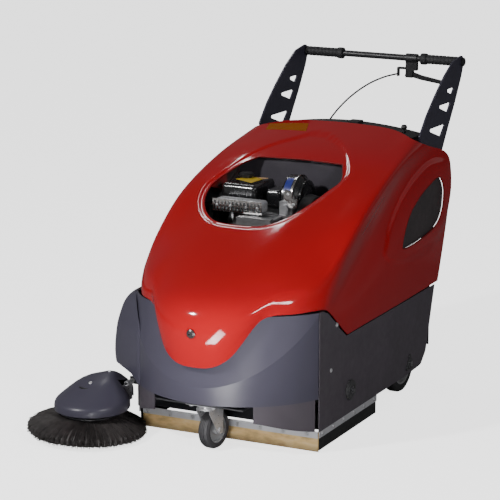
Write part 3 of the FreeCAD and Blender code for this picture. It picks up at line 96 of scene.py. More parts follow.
def span(tree, fac, low, high, a=0.3, b=0.7):
    node = tree.nodes.new("ShaderNodeMapRange")
    node.inputs["From Min"].default_value, node.inputs["From Max"].default_value = a, b
    node.inputs["To Min"].default_value, node.inputs["To Max"].default_value = low, high
    tree.links.new(fac, node.inputs["Value"])
    return node.outputs["Result"]


def bump(tree, height, strength, distance, normal=None):
    node = tree.nodes.new("ShaderNodeBump")
    node.inputs["Strength"].default_value = strength
    node.inputs["Distance"].default_value = distance
    tree.links.new(height, node.inputs["Height"])
    if normal is not None:
        tree.links.new(normal, node.inputs["Normal"])
    return node.outputs["Normal"]


def shade(colour, factor):
    return tuple(min(1.0, c * factor) for c in colour)


def surface(name, colour, rough, metallic=0.0, coat=0.0, coat_rough=0.05, vary=0.12, rough_vary=0.08,
            grain=900.0, grain_depth=0.00004, blotch=14.0, stretch=(1, 1, 1), sheen=0.0, wave=0.0,
            specular=0.5):
    """Colour blotches, uneven sheen and fine grain, at the scales given."""
    mat, tree, bsdf = new_material(name)
    patches = noise(tree, blotch, 5.0)
    tint = ramp(tree, patches, [(0.25, shade(colour, 1 - vary)), (0.75, shade(colour, 1 + vary))])
    tree.links.new(tint, bsdf.inputs["Base Color"])
    smears = noise(tree, blotch * 4, 6.0, stretch)
    uneven = span(tree, smears, max(0.02, rough - rough_vary), rough + rough_vary)
    tree.links.new(uneven, bsdf.inputs["Roughness"])
    normal = bump(tree, noise(tree, grain, 3.0, stretch), 1.0, grain_depth)
    if wave:
        normal = bump(tree, noise(tree, 6.0, 1.0), 1.0, wave, normal)
    tree.links.new(normal, bsdf.inputs["Normal"])
    bsdf.inputs["Metallic"].default_value = metallic
    bsdf.inputs["Specular IOR Level"].default_value = specular
    bsdf.inputs["Coat Weight"].default_value = coat
    bsdf.inputs["Coat Roughness"].default_value = coat_rough
    if sheen:
        bsdf.inputs["Sheen Weight"].default_value = sheen
    return mat


MAT = {
    "hood_red": surface("hood_red", (0.38, 0.008, 0.011), 0.09, vary=0.04, rough_vary=0.02, grain=1400,
                        grain_depth=0.000002, blotch=5, wave=0.00015, specular=0.35),
    "bumper_paint": surface("bumper_paint", (0.060, 0.056, 0.080), 0.34, vary=0.05, rough_vary=0.04,
                            grain=1100, grain_depth=0.000004, blotch=5, specular=0.35),
    "side_plate_paint": surface("side_plate_paint", (0.085, 0.074, 0.088), 0.45, vary=0.10, grain=1600,
                                grain_depth=0.00003, blotch=10, specular=0.3),
    "frame_steel": surface("frame_steel", (0.020, 0.020, 0.023), 0.5, vary=0.2, grain=1200),
    "black_plastic": surface("black_plastic", (0.012, 0.012, 0.013), 0.42, vary=0.2, grain=2200,
                             grain_depth=0.00005),
    "grille_black": surface("grille_black", (0.048, 0.040, 0.042), 0.5, vary=0.15, grain=2000,
                            grain_depth=0.00005),
    "flap_rubber_black": surface("flap_rubber_black", (0.015, 0.015, 0.016), 0.65, vary=0.25, grain=700),
    "strip_aluminium": surface("strip_aluminium", (0.60, 0.60, 0.63), 0.38, metallic=0.35, vary=0.08,
                               grain=500, stretch=(1, 0.02, 1), grain_depth=0.00005),
    "zinc_steel": surface("zinc_steel", (0.56, 0.56, 0.58), 0.33, metallic=0.6, vary=0.18, blotch=40,
                          grain=900, grain_depth=0.00004),
    "shaft_steel": surface("shaft_steel", (0.42, 0.42, 0.44), 0.25, metallic=1.0, grain=1500,
                           stretch=(0.05, 1, 1)),
    "cast_metal": surface("cast_metal", (0.08, 0.08, 0.083), 0.6, metallic=0.4, vary=0.25, grain=900,
                          grain_depth=0.0002),
    "engine_alloy": surface("engine_alloy", (0.42, 0.42, 0.43), 0.42, metallic=0.9, vary=0.2, grain=1100,
                            grain_depth=0.00015, blotch=30),
    "tank_black": surface("tank_black", (0.010, 0.010, 0.011), 0.25, coat=0.6, coat_rough=0.08, vary=0.1),
    "bristle_black": surface("bristle_black", (0.045, 0.039, 0.038), 0.55, vary=0.5, blotch=60, grain=3000,
                             specular=0.6),
    "core_plastic": surface("core_plastic", (0.06, 0.06, 0.066), 0.5, vary=0.15),
    "tyre_rubber": surface("tyre_rubber", (0.017, 0.017, 0.018), 0.72, vary=0.3, grain=1200,
                           grain_depth=0.00008),
    "rim_grey": surface("rim_grey", (0.20, 0.20, 0.205), 0.45, vary=0.12),
    "belt_rubber": surface("belt_rubber", (0.012, 0.012, 0.012), 0.7, vary=0.3, grain=1400),
    "grip_rubber": surface("grip_rubber", (0.013, 0.013, 0.015), 0.62, vary=0.25, grain=2600,
                           grain_depth=0.00012),
    "arm_paint": surface("arm_paint", (0.034, 0.032, 0.052), 0.45, coat=0.15, coat_rough=0.3, vary=0.1,
                         grain=1800, grain_depth=0.00003),
    "bar_paint": surface("bar_paint", (0.014, 0.014, 0.016), 0.4, vary=0.15, grain=1800),
    "cable_black": surface("cable_black", (0.014, 0.014, 0.016), 0.4, vary=0.2, grain=1500),
    "hopper_plastic": surface("hopper_plastic", (0.03, 0.03, 0.033), 0.5, vary=0.15, grain=1500,
                              grain_depth=0.00006),
    "filter_media": surface("filter_media", (0.50, 0.45, 0.34), 0.8, vary=0.2, grain=500, sheen=0.3),
    "battery_case": surface("battery_case", (0.014, 0.014, 0.015), 0.4, vary=0.15, grain=1800),
    "caster_grey": surface("caster_grey", (0.050, 0.048, 0.052), 0.6, vary=0.2, grain=1000),
    "hub_grey": surface("hub_grey", (0.34, 0.34, 0.35), 0.4, vary=0.12, grain=1200),
    "knob_red": surface("knob_red", (0.32, 0.012, 0.010), 0.3, coat=0.4),
    # darker copy of the hood red for the rim bars: painted shade that dulls the window and vent edges
    "hood_edge_painted_shade": surface("hood_edge_painted_shade", (0.20, 0.006, 0.007), 0.55, vary=0.08, grain=1400, specular=0.2),
    "lock_dark": surface("lock_dark", (0.10, 0.09, 0.09), 0.3, metallic=0.8, vary=0.2, grain=1500),
    "exhaust_steel": surface("exhaust_steel", (0.62, 0.60, 0.58), 0.22, metallic=1.0, vary=0.25, blotch=60,
                             grain=800, grain_depth=0.0001),
    "yellow_label": surface("yellow_label", (0.62, 0.42, 0.03), 0.35, vary=0.10, blotch=50, grain=1500,
                            grain_depth=0.00001),
    "tan_label": surface("tan_label", (0.50, 0.30, 0.16), 0.4, vary=0.12, blotch=40, grain=1500,
                         grain_depth=0.00001),
    "bay_slate": surface("bay_slate", (0.050, 0.044, 0.056), 0.6, vary=0.15, grain=700, grain_depth=0.0002),
    "amber_label": surface("amber_label", (0.28, 0.075, 0.001), 0.6, vary=0.12, blotch=60, grain=1500,
                           grain_depth=0.00001, specular=0.1),
    "blue_label": surface("blue_label", (0.02, 0.03, 0.20), 0.35, coat=0.3, vary=0.1),
}


def flap_material():
    """Tan gum rubber, scuffed grey and darker towards the floor."""
    mat, tree, bsdf = new_material("flap_rubber_tan")
    stains = ramp(tree, noise(tree, 22, 6.0, (1, 1, 2.5)),
                  [(0.28, (0.46, 0.29, 0.12)), (0.55, (0.80, 0.55, 0.24)), (0.8, (0.88, 0.68, 0.38))])
    coords = tree.nodes.new("ShaderNodeTexCoord")
    split = tree.nodes.new("ShaderNodeSeparateXYZ")
    tree.links.new(coords.outputs["Object"], split.inputs[0])
    # darker over the lowest 22 mm, towards the floor
    near_floor_dark = span(tree, split.outputs["Z"], 0.55, 0.0, 0.0, 0.022)
    mix = tree.nodes.new("ShaderNodeMix")
    mix.data_type = "RGBA"
    tree.links.new(near_floor_dark, mix.inputs[0])
    tree.links.new(stains, mix.inputs[6])
    mix.inputs[7].default_value = (0.10, 0.075, 0.05, 1)
    tree.links.new(mix.outputs[2], bsdf.inputs["Base Color"])
    tree.links.new(span(tree, noise(tree, 90), 0.5, 0.75), bsdf.inputs["Roughness"])
    tree.links.new(bump(tree, noise(tree, 420, 4.0), 1.0, 0.0002), bsdf.inputs["Normal"])
    return mat


MAT["flap_rubber_tan"] = flap_material()

for entry in frame["record"]["subparts"]:
    node = frame["nodes"][entry["node"]]
    node.data.materials.clear()
    node.data.materials.append(MAT[entry["material_slot"]])
frame["nodes"]["air_cleaner"].data.materials[0] = MAT["tank_black"]
frame["nodes"]["caster_wheel"].data.materials[0] = MAT["hub_grey"]

# ---- mesh helpers ----------------------------------------------------------------------------


def add_mesh(name, verts, faces, slot, body, smooth=35.0, material=None):
    mesh = bpy.data.meshes.new(name)
    mesh.from_pydata([tuple(v) for v in verts], [], faces)
    mesh.validate()
    return place(name, mesh, slot, body, smooth, material)


def place(name, mesh, slot, body, smooth=35.0, material=None):
    mesh.materials.append(MAT[material or slot])
    obj = bpy.data.objects.new(name, mesh)
    bpy.context.scene.collection.objects.link(obj)
    if smooth:
        mesh.polygons.foreach_set("use_smooth", [True] * len(mesh.polygons))
        mesh.set_sharp_from_angle(angle=math.radians(smooth))
    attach(obj, body)
    return obj


def face_outwards(mesh):
    """Turn every face of a closed mesh outwards."""
    bm = bmesh.new()
    bm.from_mesh(mesh)
    bmesh.ops.recalc_face_normals(bm, faces=bm.faces)
    bm.to_mesh(mesh)
    bm.free()
    return mesh


def edge_loop(rows, cols):
    """Indices round the edge of a grid of rows by cols points, in order."""
    loop = [i * cols for i in range(rows)] + [(rows - 1) * cols + j for j in range(1, cols)]
    return loop + [i * cols + cols - 1 for i in range(rows - 2, -1, -1)] + list(range(cols - 2, 0, -1))


def circle_step(k, sides, first, other):
    """Unit vector k of sides steps round the circle spanned by two directions."""
    return first * math.cos(2 * math.pi * k / sides) + other * math.sin(2 * math.pi * k / sides)


def ring_faces(lower, upper, count):
    """Quads between two rings of count points that start at the given indices."""
    return [(lower + k, lower + (k + 1) % count, upper + (k + 1) % count, upper + k) for k in range(count)]


def blend_corners(corners, u, v):
    """Point at u, v between four corners in order; corners are vectors or arrays."""
    a, b, c, d = corners
    return a * (1 - u) * (1 - v) + b * u * (1 - v) + c * u * v + d * (1 - u) * v


def sticker_faces(rows, cols):
    """Faces of a thin closed sheet: its top grid of points, then its bottom one."""
    half, faces = rows * cols, []
    for i in range(rows - 1):
        for j in range(cols - 1):
            quad = (i * cols + j, (i + 1) * cols + j, (i + 1) * cols + j + 1, i * cols + j + 1)
            faces += [quad, tuple(half + q for q in reversed(quad))]
    loop = edge_loop(rows, cols)
    return faces + [(p_, half + p_, half + q_, q_) for p_, q_ in zip(loop, loop[1:] + loop[:1])]


# ---- hood ------------------------------------------------------------------------------------
# Named lines of the skin on the +X side, front edge to rear edge; the -X side mirrors them.
HOOD_LINES = [
    # middle: nose tip, nose, knuckle, long slope, rear edge of the deck
    [(0, -222, 290), (0, -238, 375), (0, -226, 452), (0, -165, 512),
     (0, 10, 597), (0, 260, 700), (0, 560, 811), (0, 860, 873)],
    [(60, -217, 295), (62, -231, 378), (64, -218, 453), (66, -158, 512),
     (68, 12, 596), (66, 260, 699), (64, 560, 810), (64, 860, 872)],
    [(112, -196, 326), (118, -205, 392), (122, -191, 457), (128, -134, 511),
     (134, 18, 592), (134, 262, 697), (130, 560, 808), (128, 858, 870)],
    [(152, -167, 388), (160, -168, 425), (168, -153, 465), (178, -102, 510),
     (192, 30, 584), (198, 268, 692), (192, 561, 804), (186, 852, 866)],
    [(190, -121, 447), (202, -112, 472), (214, -92, 496), (228, -52, 526),
     (248, 60, 580), (258, 280, 692), (248, 563, 799), (236, 836, 858)],
    # shallow groove inside the shoulder
    [(264, -64, 450), (274, -50, 474), (283, -26, 498), (292, 8, 524),
     (303, 110, 582), (309, 300, 700), (294, 565, 792), (276, 806, 850)],
    # shoulder ridge
    [(316, 26, 450), (320, 44, 474), (324, 68, 500), (328, 98, 530),
     (335, 170, 600), (338, 345, 702), (324, 585, 788), (306, 815, 836)],
    # groove between the shoulder and the rear fender
    [(319, 72, 433), (318, 108, 450), (316, 150, 474), (314, 200, 502),
     (312, 300, 562), (311, 480, 660), (308, 690, 748), (307, 935, 798)],
    [(320, 118, 397), (321, 168, 408), (322, 230, 422), (322, 310, 444),
     (322, 430, 496), (322, 600, 580), (321, 800, 668), (316, 1082, 740)],
    [(320, 166, 359), (321, 230, 362), (322, 310, 368), (322, 410, 380),
     (323, 540, 404), (324, 690, 440), (324, 850, 482), (321, 1040, 535)],
    # lower edge, resting just above the side plate
    [(320, 211, 327), (320, 300, 328), (320, 400, 328), (320, 520, 328),
     (320, 640, 328), (320, 750, 329), (320, 860, 330), (320, 966, 331)],
]
HOOD_T = 4.0


def resample(points, steps):
    """Points along a smooth curve through the given ones, steps to each span."""
    points = np.asarray(points, float)
    n = len(points)
    knots = np.concatenate([[0], np.cumsum(np.sqrt(np.linalg.norm(np.diff(points, axis=0), axis=1)))])
    around = [(max(i - 1, 0), min(i + 1, n - 1)) for i in range(n)]
    slopes = [(points[after] - points[before]) / (knots[after] - knots[before]) for before, after in around]
    out = []
    for i in range(n - 1):
        h = knots[i + 1] - knots[i]
        for k in range(steps):
            t = k / steps
            out.append(points[i] * (2 * t ** 3 - 3 * t ** 2 + 1) + slopes[i] * h * (t ** 3 - 2 * t ** 2 + t)
                       + points[i + 1] * (3 * t ** 2 - 2 * t ** 3) + slopes[i + 1] * h * (t ** 3 - t ** 2))
    return np.array(out + [points[-1]])


def spline_matrix(count, samples):
    """Weights of a clamped cubic B-spline's poles at evenly spaced places."""
    knots = np.concatenate([[0] * 3, np.arange(count - 2), [count - 3] * 3]).astype(float)
    where = np.linspace(0, count - 3 - 1e-9, samples)
    basis = np.array([(where >= knots[i]) & (where < knots[i + 1]) for i in range(len(knots) - 1)], float)
    for degree in range(1, 4):
        nxt = np.zeros((len(knots) - 1 - degree, samples))
        for i in range(len(nxt)):
            d1, d2 = knots[i + degree] - knots[i], knots[i + degree + 1] - knots[i + 1]
            if d1:
                nxt[i] += (where - knots[i]) / d1 * basis[i]
            if d2:
                nxt[i] += (knots[i + degree + 1] - where) / d2 * basis[i + 1]
        basis = nxt
    return basis.T


def hood_surface(rows, cols):
    """rows stations front to rear, cols across from the -X lower edge to the +X lower edge."""
    right = [np.array(line, float) for line in HOOD_LINES]
    left = [line * (-1, 1, 1) for line in reversed(right[1:])]
    grid = np.array(left + right).transpose(1, 0, 2)
    wide = np.array([resample(row, 2) for row in grid])
    poles = np.array([resample(wide[:, j], 3) for j in range(wide.shape[1])]).transpose(1, 0, 2)
    a, b = spline_matrix(poles.shape[0], rows), spline_matrix(poles.shape[1], cols)
    return np.einsum("ri,ijk,cj->rck", a, poles, b)


def grid_normals(grid):
    along = np.gradient(grid, axis=0)
    across = np.gradient(grid, axis=1)
    normal = np.cross(across, along)
    normal = normal / np.linalg.norm(normal, axis=2, keepdims=True)
    return normal if normal[:, :, 2].sum() > 0 else -normal


HOOD_ROWS, HOOD_COLS = 170, 260
DISH_EDGE, DISH_DEPTH = 9.0, 4.5        # width of the dish's sloping edge, and how deep it is
LAND_EDGE, LAND_RISE = 16.0, 4.0        # the same for the raised land on a fender
# plan outline (x, y) of the oval dish that holds the window, clockwise from the front
OVAL = [(0, 145), (60, 164), (108, 208), (150, 294), (178, 380), (192, 450), (186, 505), (160, 560),
        (132, 612), (92, 664), (40, 712), (-14, 746), (-52, 744), (-96, 690), (-140, 640), (-184, 570),
        (-214, 500),
        (-236, 440), (-254, 380), (-252, 330), (-236, 276), (-196, 212), (-136, 160), (-60, 144)]
# outline (y, z) of the raised land round a fender's crescent vent
FENDER = [(498, 512), (512, 556), (548, 610), (620, 666), (710, 712), (800, 740), (890, 755), (980, 748),
          (1060, 724), (1074, 640), (1040, 560), (1000, 514), (918, 480), (800, 466), (690, 466), (588, 478)]
# outline (y, z) of the crescent vent
CRESCENT = [(978, 686), (1002, 640), (985, 572), (925, 532), (800, 513), (700, 508), (640, 512),
            (634, 528), (660, 575), (714, 626), (800, 664), (885, 686), (940, 695)]
# plan outline (x, y) of the window, from the +X end of its straight rear edge round the front
WINDOW = [(148, 548), (180, 476), (184, 440), (168, 386), (141, 304), (101, 221), (60, 178), (20, 160),
          (-55, 158), (-129, 174), (-186, 224), (-224, 284), (-240, 340), (-240, 390), (-222, 440),
          (-192, 505), (-156, 548)]


def closed_curve(points, steps=10):
    """Smooth closed outline through the points."""
    points = np.asarray(points, float)
    n, out = len(points), []
    for i in range(n):
        a, b, c, d = (points[(i + k) % n] for k in (-1, 0, 1, 2))
        for k in range(steps):
            t = k / steps
            out.append(0.5 * (2 * b + (c - a) * t + (2 * a - 5 * b + 4 * c - d) * t ** 2
                              + (3 * b - a - 3 * c + d) * t ** 3))
    return np.array(out)


def inside_distance(places, outline):
    """Distance to the outline, positive inside it."""
    a, b = outline, np.roll(outline, -1, axis=0)
    best = np.full(len(places), 1e9)
    inside = np.zeros(len(places), bool)
    for p, q in zip(a, b):
        along = q - p
        t = np.clip(((places - p) @ along) / (along @ along), 0, 1)
        best = np.minimum(best, np.linalg.norm(places - p - t[:, None] * along, axis=1))
        if p[1] != q[1]:
            crosses = ((p[1] > places[:, 1]) != (q[1] > places[:, 1]))
            where = (q[0] - p[0]) * (places[:, 1] - p[1]) / (q[1] - p[1]) + p[0]
            inside ^= crosses & (places[:, 0] < where)
    return np.where(inside, best, -best)


def step(distance, width):
    """Smooth rise from 0 to 1 over that width, centred on zero distance."""
    t = np.clip(distance / width + 0.5, 0, 1)
    return t * t * (3 - 2 * t)


def hood_grid():
    """The skin with its oval dish and the land round each fender vent."""
    grid = hood_surface(HOOD_ROWS, HOOD_COLS)
    normal = grid_normals(grid)
    flat, flat_n = grid.reshape(-1, 3), normal.reshape(-1, 3)
    on_top, on_side = flat[:, 2] > 560, np.abs(flat[:, 0]) > 300
    dish = step(inside_distance(flat[:, :2], closed_curve(OVAL)), DISH_EDGE) * on_top
    land = step(inside_distance(flat[:, 1:], closed_curve(FENDER)), LAND_EDGE) * on_side
    flat = flat + flat_n * (LAND_RISE * land - DISH_DEPTH * dish)[:, None]
    return flat.reshape(grid.shape)


def shell_mesh(name, grid, thickness):
    """Closed shell with the grid as its outside."""
    rows, cols = grid.shape[:2]
    inner = grid - grid_normals(grid) * thickness
    verts = [L(*p) for p in np.concatenate([grid.reshape(-1, 3), inner.reshape(-1, 3)])]
    n, faces = rows * cols, []
    for i in range(rows - 1):
        for j in range(cols - 1):
            a, b, c, d = i * cols + j, i * cols + j + 1, (i + 1) * cols + j + 1, (i + 1) * cols + j
            faces += [(a, b, c, d), (n + d, n + c, n + b, n + a)]
    rim = edge_loop(rows, cols)
    faces += [(a, b, n + b, n + a) for a, b in zip(rim, rim[1:] + rim[:1])]
    mesh = bpy.data.meshes.new(name)
    mesh.from_pydata(verts, [], faces)
    return face_outwards(mesh)


def prism(points_a, points_b):
    """Closed solid between two equal outlines, as a mesh in scene metres."""
    n = len(points_a)
    faces = [tuple(range(n))[::-1], tuple(range(n, 2 * n))]
    faces += [(i, (i + 1) % n, n + (i + 1) % n, n + i) for i in range(n)]
    mesh = bpy.data.meshes.new("cutter")
    mesh.from_pydata([L(*p) for p in list(points_a) + list(points_b)], [], faces)
    return face_outwards(mesh)


def cut_away(mesh, cutters):
    """The mesh less the cutters."""
    body = bpy.data.objects.new("body", mesh)
    bpy.context.scene.collection.objects.link(body)
    tools = []
    for cutter in cutters:
        tool = bpy.data.objects.new("tool", cutter)
        bpy.context.scene.collection.objects.link(tool)
        tools.append(tool)
        modifier = body.modifiers.new("cut", "BOOLEAN")
        modifier.operation, modifier.solver, modifier.object = "DIFFERENCE", "EXACT", tool
    bpy.context.view_layer.update()
    result = bpy.data.meshes.new_from_object(body.evaluated_get(bpy.context.evaluated_depsgraph_get()))
    for obj in [body, *tools]:
        bpy.data.objects.remove(obj)
    return result


def sweep(name, points, radius, slot, body, closed=False, sides=12, material=None, radii=None):
    """Round bar along a line of points in scene metres."""
    points = [Vector(p) for p in points]
    n = len(points)
    verts, faces = [], []
    normal = None
    for i, p in enumerate(points):
        a = points[(i - 1) % n] if closed or i else p
        b = points[(i + 1) % n] if closed or i < n - 1 else p
        tangent = (b - a).normalized()
        if normal is None:
            normal = tangent.orthogonal().normalized()
        normal = (normal - tangent * normal.dot(tangent)).normalized()
        other = tangent.cross(normal)
        r = radii[i] if radii else radius
        for k in range(sides):
            angle = 2 * math.pi * k / sides
            verts.append(p + (normal * math.cos(angle) + other * math.sin(angle)) * r)
    for i in range(n if closed else n - 1):
        for k in range(sides):
            faces.append((i * sides + k, i * sides + (k + 1) % sides,
                          ((i + 1) % n) * sides + (k + 1) % sides, ((i + 1) % n) * sides + k))
    if not closed:
        faces += [tuple(range(sides))[::-1], tuple((n - 1) * sides + k for k in range(sides))]
    return add_mesh(name, verts, faces, slot, body, 50, material)


window_outline = resample(WINDOW, 10)
crescent_outline = closed_curve(CRESCENT)
hood_skin = hood_grid()
cutters = [prism([(x, y, 560) for x, y in window_outline], [(x, y, 1000) for x, y in window_outline])]
for sign in (1, -1):
    cutters.append(prism([(sign * 290, y, z) for y, z in crescent_outline],
                         [(sign * 350, y, z) for y, z in crescent_outline]))
hood_mesh = cut_away(shell_mesh("hood_shell", hood_skin, HOOD_T), cutters)
hood_piece = place("hood_shell", hood_mesh, "hood_red", "hood_cover", 38)
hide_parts("hood")

skin_tree = BVHTree.FromPolygons([tuple(L(*p)) for p in hood_skin.reshape(-1, 3)],
                                 [(i * HOOD_COLS + j, i * HOOD_COLS + j + 1, (i + 1) * HOOD_COLS + j + 1,
                                   (i + 1) * HOOD_COLS + j)
                                  for i in range(HOOD_ROWS - 1) for j in range(HOOD_COLS - 1)])


def on_hood(x, y, depth=0.0):
    """Point on the skin straight above (x, y), sunk by depth, with the skin's normal."""
    place_, normal, _, _ = skin_tree.ray_cast(L(x, y, 1500), Vector((0, 0, -1)))
    return place_ - normal * depth, normal


def beside_hood(sign, y, z, depth=0.0):
    place_, normal, _, _ = skin_tree.ray_cast(L(sign * 600, y, z), Vector((-sign, 0, 0)))
    return place_ - normal * depth, normal


# rim bars round the window and the vents, in the darker hood red: painted shade on these edges
window_rim = [on_hood(x, y, HOOD_T / 2000)[0] for x, y in
              list(window_outline) + [(x, 548) for x in np.linspace(-148, 140, 30)]]
sweep("window_rim", window_rim, 0.0023, "hood_red", "hood_cover", closed=True, material="hood_edge_painted_shade")
for sign, tag in ((1, "left"), (-1, "right")):
    sweep("vent_rim_" + tag, [beside_hood(sign, y, z, HOOD_T / 2000)[0] for y, z in crescent_outline],
          0.0028, "hood_red", "hood_cover", closed=True, material="hood_edge_painted_shade")

# ---- engine bay and vents --------------------------------------------------------------------
bay_y, bay_half, bay_low, bay_t = 566.0, 236.0, 632, 4
across = np.linspace(-bay_half, bay_half, 61)
skin_z = [(on_hood(x, bay_y)[0].z - L(0, 0, 0).z) * 1000 - 9 for x in across]
bay_front = [(x, z) for x, z in zip(across, skin_z)]
verts = [L(x, bay_y - 0.6 * math.cos(x / 9.0), z) for x, z in bay_front]      # slightly corrugated
verts += [L(x, bay_y, bay_low) for x, _ in bay_front]
verts += [L(x, bay_y + bay_t, z) for x, z in bay_front]
verts += [L(x, bay_y + bay_t, bay_low) for x, _ in bay_front]
n = len(bay_front)
faces = []
for i in range(n - 1):
    faces += [(i, i + 1, n + i + 1, n + i), (2 * n + i + 1, 2 * n + i, 3 * n + i, 3 * n + i + 1),
              (i + 1, i, 2 * n + i, 2 * n + i + 1), (n + i, n + i + 1, 3 * n + i + 1, 3 * n + i)]
faces += [(0, n, 3 * n, 2 * n), (n - 1, 3 * n - 1, 4 * n - 1, 2 * n - 1)]
add_mesh("bay_bulkhead", verts, faces, "black_plastic", "chassis", 40, "bay_slate")
seal = [L(x, bay_y + 2, z + 3) for x, z in bay_front]
sweep("bay_seal", seal, 0.0035, "black_plastic", "chassis", sides=8, material="grip_rubber")

# rings of a vent's panel: share of the crescent's size, and depth behind the skin
VENT_RINGS = [(0.995, 7.5), (0.985, 6.0), (0.955, 6.0), (0.945, 8.5), (0.6, 8.0), (0.25, 7.6), (0.02, 7.5)]
for sign, tag in ((1, "left"), (-1, "right")):
    centre = np.array([860.0, 600.0])
    rings = []
    for scale, inset in VENT_RINGS:
        sunk = Vector((sign * inset / 1000, 0, 0))
        rings.append([beside_hood(sign, *(centre + (np.array(q) - centre) * scale))[0] - sunk
                      for q in crescent_outline])
    verts = [v for ring in rings for v in ring]
    count = len(crescent_outline)
    verts += [v - Vector((sign * 0.003, 0, 0)) for v in verts]
    half = len(rings) * count
    faces = []
    for k in range(len(rings) - 1):
        for quad in ring_faces(k * count, (k + 1) * count, count):
            faces += [quad, tuple(half + q for q in reversed(quad))]
    for i in range(count):
        faces.append(((i + 1) % count, i, half + i, half + (i + 1) % count))
    last = (len(rings) - 1) * count
    faces += [tuple(range(last, last + count)), tuple(half + q for q in reversed(range(last, last + count)))]
    panel = add_mesh("vent_panel_" + tag, verts, faces, "black_plastic", "hood_cover", 35, "grille_black")
    if sign > 0:
        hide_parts("side_grilles")

# ---- side brush ------------------------------------------------------------------------------
DISC = (-412.0, -160.0, 60.0)
LEAN = Matrix.Rotation(math.radians(-2.5), 3, Vector((1, -1, 0)).normalized())


def on_disc(radius, angle, z):
    """Layout point at that radius and angle about the disc brush's leaning axis."""
    flat = Vector((radius * math.cos(angle), radius * math.sin(angle), z - DISC[2]))
    return Vector(DISC) + LEAN @ flat


def strands(name, roots, slot, body, sides=3, taper=0.55):
    """Thin tapered bristles; each root is (points, radius) in scene metres."""
    verts, faces = [], []
    for points, radius in roots:
        base, last = len(verts), len(points) - 1
        tangent = (points[-1] - points[0]).normalized()
        first = tangent.orthogonal().normalized()
        other = tangent.cross(first)
        for i, p in enumerate(points):
            r = radius * (1 - (1 - taper) * i / last)
            verts += [p + circle_step(k, sides, first, other) * r for k in range(sides)]
        for i in range(last):
            faces += ring_faces(base + i * sides, base + (i + 1) * sides, sides)
        faces += [tuple(base + k for k in reversed(range(sides))),
                  tuple(base + last * sides + k for k in range(sides))]
    return add_mesh(name, verts, faces, slot, body, 60)


tufts, per_tuft = 58, 72
side_roots = []
for t in range(tufts):
    about = 2 * math.pi * t / tufts + rng.uniform(-0.02, 0.02)
    reach = rng.uniform(-4, 3)
    for _ in range(per_tuft):
        level = rng.random()
        start_a = about + rng.uniform(-0.045, 0.045)
        end_a = about + (start_a - about) * 1.35 + rng.uniform(-0.028, 0.028)
        r1 = 189 + reach + rng.uniform(-9, 2) - 5 * abs(level - 0.45)
        z0, z1 = 46 + 24 * level, 9 + 30 * level + rng.uniform(-1.5, 2.5)
        points = [L(*on_disc(84, start_a, z0)), L(*on_disc(84 + 0.38 * (r1 - 84), 0.6 * start_a + 0.4 * end_a,
                                                          z0 - (z0 - z1) * 0.16 + 2)),
                  L(*on_disc(84 + 0.74 * (r1 - 84), 0.3 * start_a + 0.7 * end_a, z0 - (z0 - z1) * 0.58 + 2)),
                  L(*on_disc(r1, end_a, z1))]
        side_roots.append((points, rng.uniform(0.0010, 0.0016)))
bristles = strands("side_brush_strands", side_roots, "bristle_black", "side_disc")

mat_profile = [(60, 47), (86, 46), (120, 34), (150, 14), (180, 13), (180, 34), (150, 51), (95, 62), (60, 70)]
verts, faces, turns = [], [], 232
for i in range(turns):
    a = 2 * math.pi * i / turns
    ripple = (1.6 if i % 4 < 2 else -1.6)
    for r, z in mat_profile:
        rim_ripple, top_ripple = (ripple * 2.2 if r > 165 else 0), (ripple if 90 < r < 160 and z > 40 else 0)
        verts.append(L(*on_disc(r + rim_ripple, a, z + top_ripple)))
m = len(mat_profile)
for i in range(turns):
    j = (i + 1) % turns
    faces += [(i * m + k, i * m + (k + 1) % m, j * m + (k + 1) % m, j * m + k) for k in range(m)]
add_mesh("side_brush_mat", verts, faces, "bristle_black", "side_disc", 60)
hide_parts("side_brush_bristles")

# ---- side brush cover --------------------------------------------------------------------------
# plan of the moulding over the gear motor: a big arc over the disc, a small one beside the body
BIG, BIG_R, SMALL, SMALL_R = (-404.0, -148.0), 119.0, (-372.0, -20.0), 50.0
# share of the plan's size, and of the crown's height there
COVER_RISE = [(0.0, 1.0), (0.22, 0.995), (0.36, 0.965), (0.48, 0.90), (0.60, 0.80), (0.72, 0.67),
              (0.82, 0.55), (0.895, 0.455), (0.945, 0.385), (0.975, 0.325), (0.992, 0.25), (1.0, 0.16),
              (1.0, 0.0)]
COVER_LOW = 88.0
COVER_COUNT = 120


def cover_plan(inset):
    """Teardrop outline round the two arcs, evenly spaced."""
    ra, rb = BIG_R - inset, SMALL_R - inset
    dx, dy = SMALL[0] - BIG[0], SMALL[1] - BIG[1]
    base, lean = math.atan2(dy, dx), math.acos((ra - rb) / math.hypot(dx, dy))
    line = [(BIG[0] + ra * math.cos(a), BIG[1] + ra * math.sin(a))
            for a in np.linspace(base + lean, base + 2 * math.pi - lean, 90)]
    line += [(SMALL[0] + rb * math.cos(a), SMALL[1] + rb * math.sin(a))
             for a in np.linspace(base - lean, base + lean, 40)]
    line = np.array(line + line[:1])
    run = np.concatenate([[0], np.cumsum(np.linalg.norm(np.diff(line, axis=0), axis=1))])
    where = np.linspace(0, run[-1], COVER_COUNT + 1)[:-1]
    return np.stack([np.interp(where, run, line[:, 0]), np.interp(where, run, line[:, 1])], axis=1)


def cover_top(x, y):
    """Height of the moulding's sloping crown, rising towards the body."""
    return 187 + 0.12 * (y + 60) + 0.02 * (x + 400)


def cover_rings(inset, drop):
    """Rings of the moulding's surface from its foot up to the crown."""
    centre, out = np.array([-399.0, -92.0]), []
    plan = cover_plan(inset)
    for scale, rise in reversed(COVER_RISE):
        ring = centre + (plan - centre) * max(scale, 0.004)
        out.append([(x, y, COVER_LOW + (cover_top(x, y) - COVER_LOW - drop) * rise) for x, y in ring])
    return out


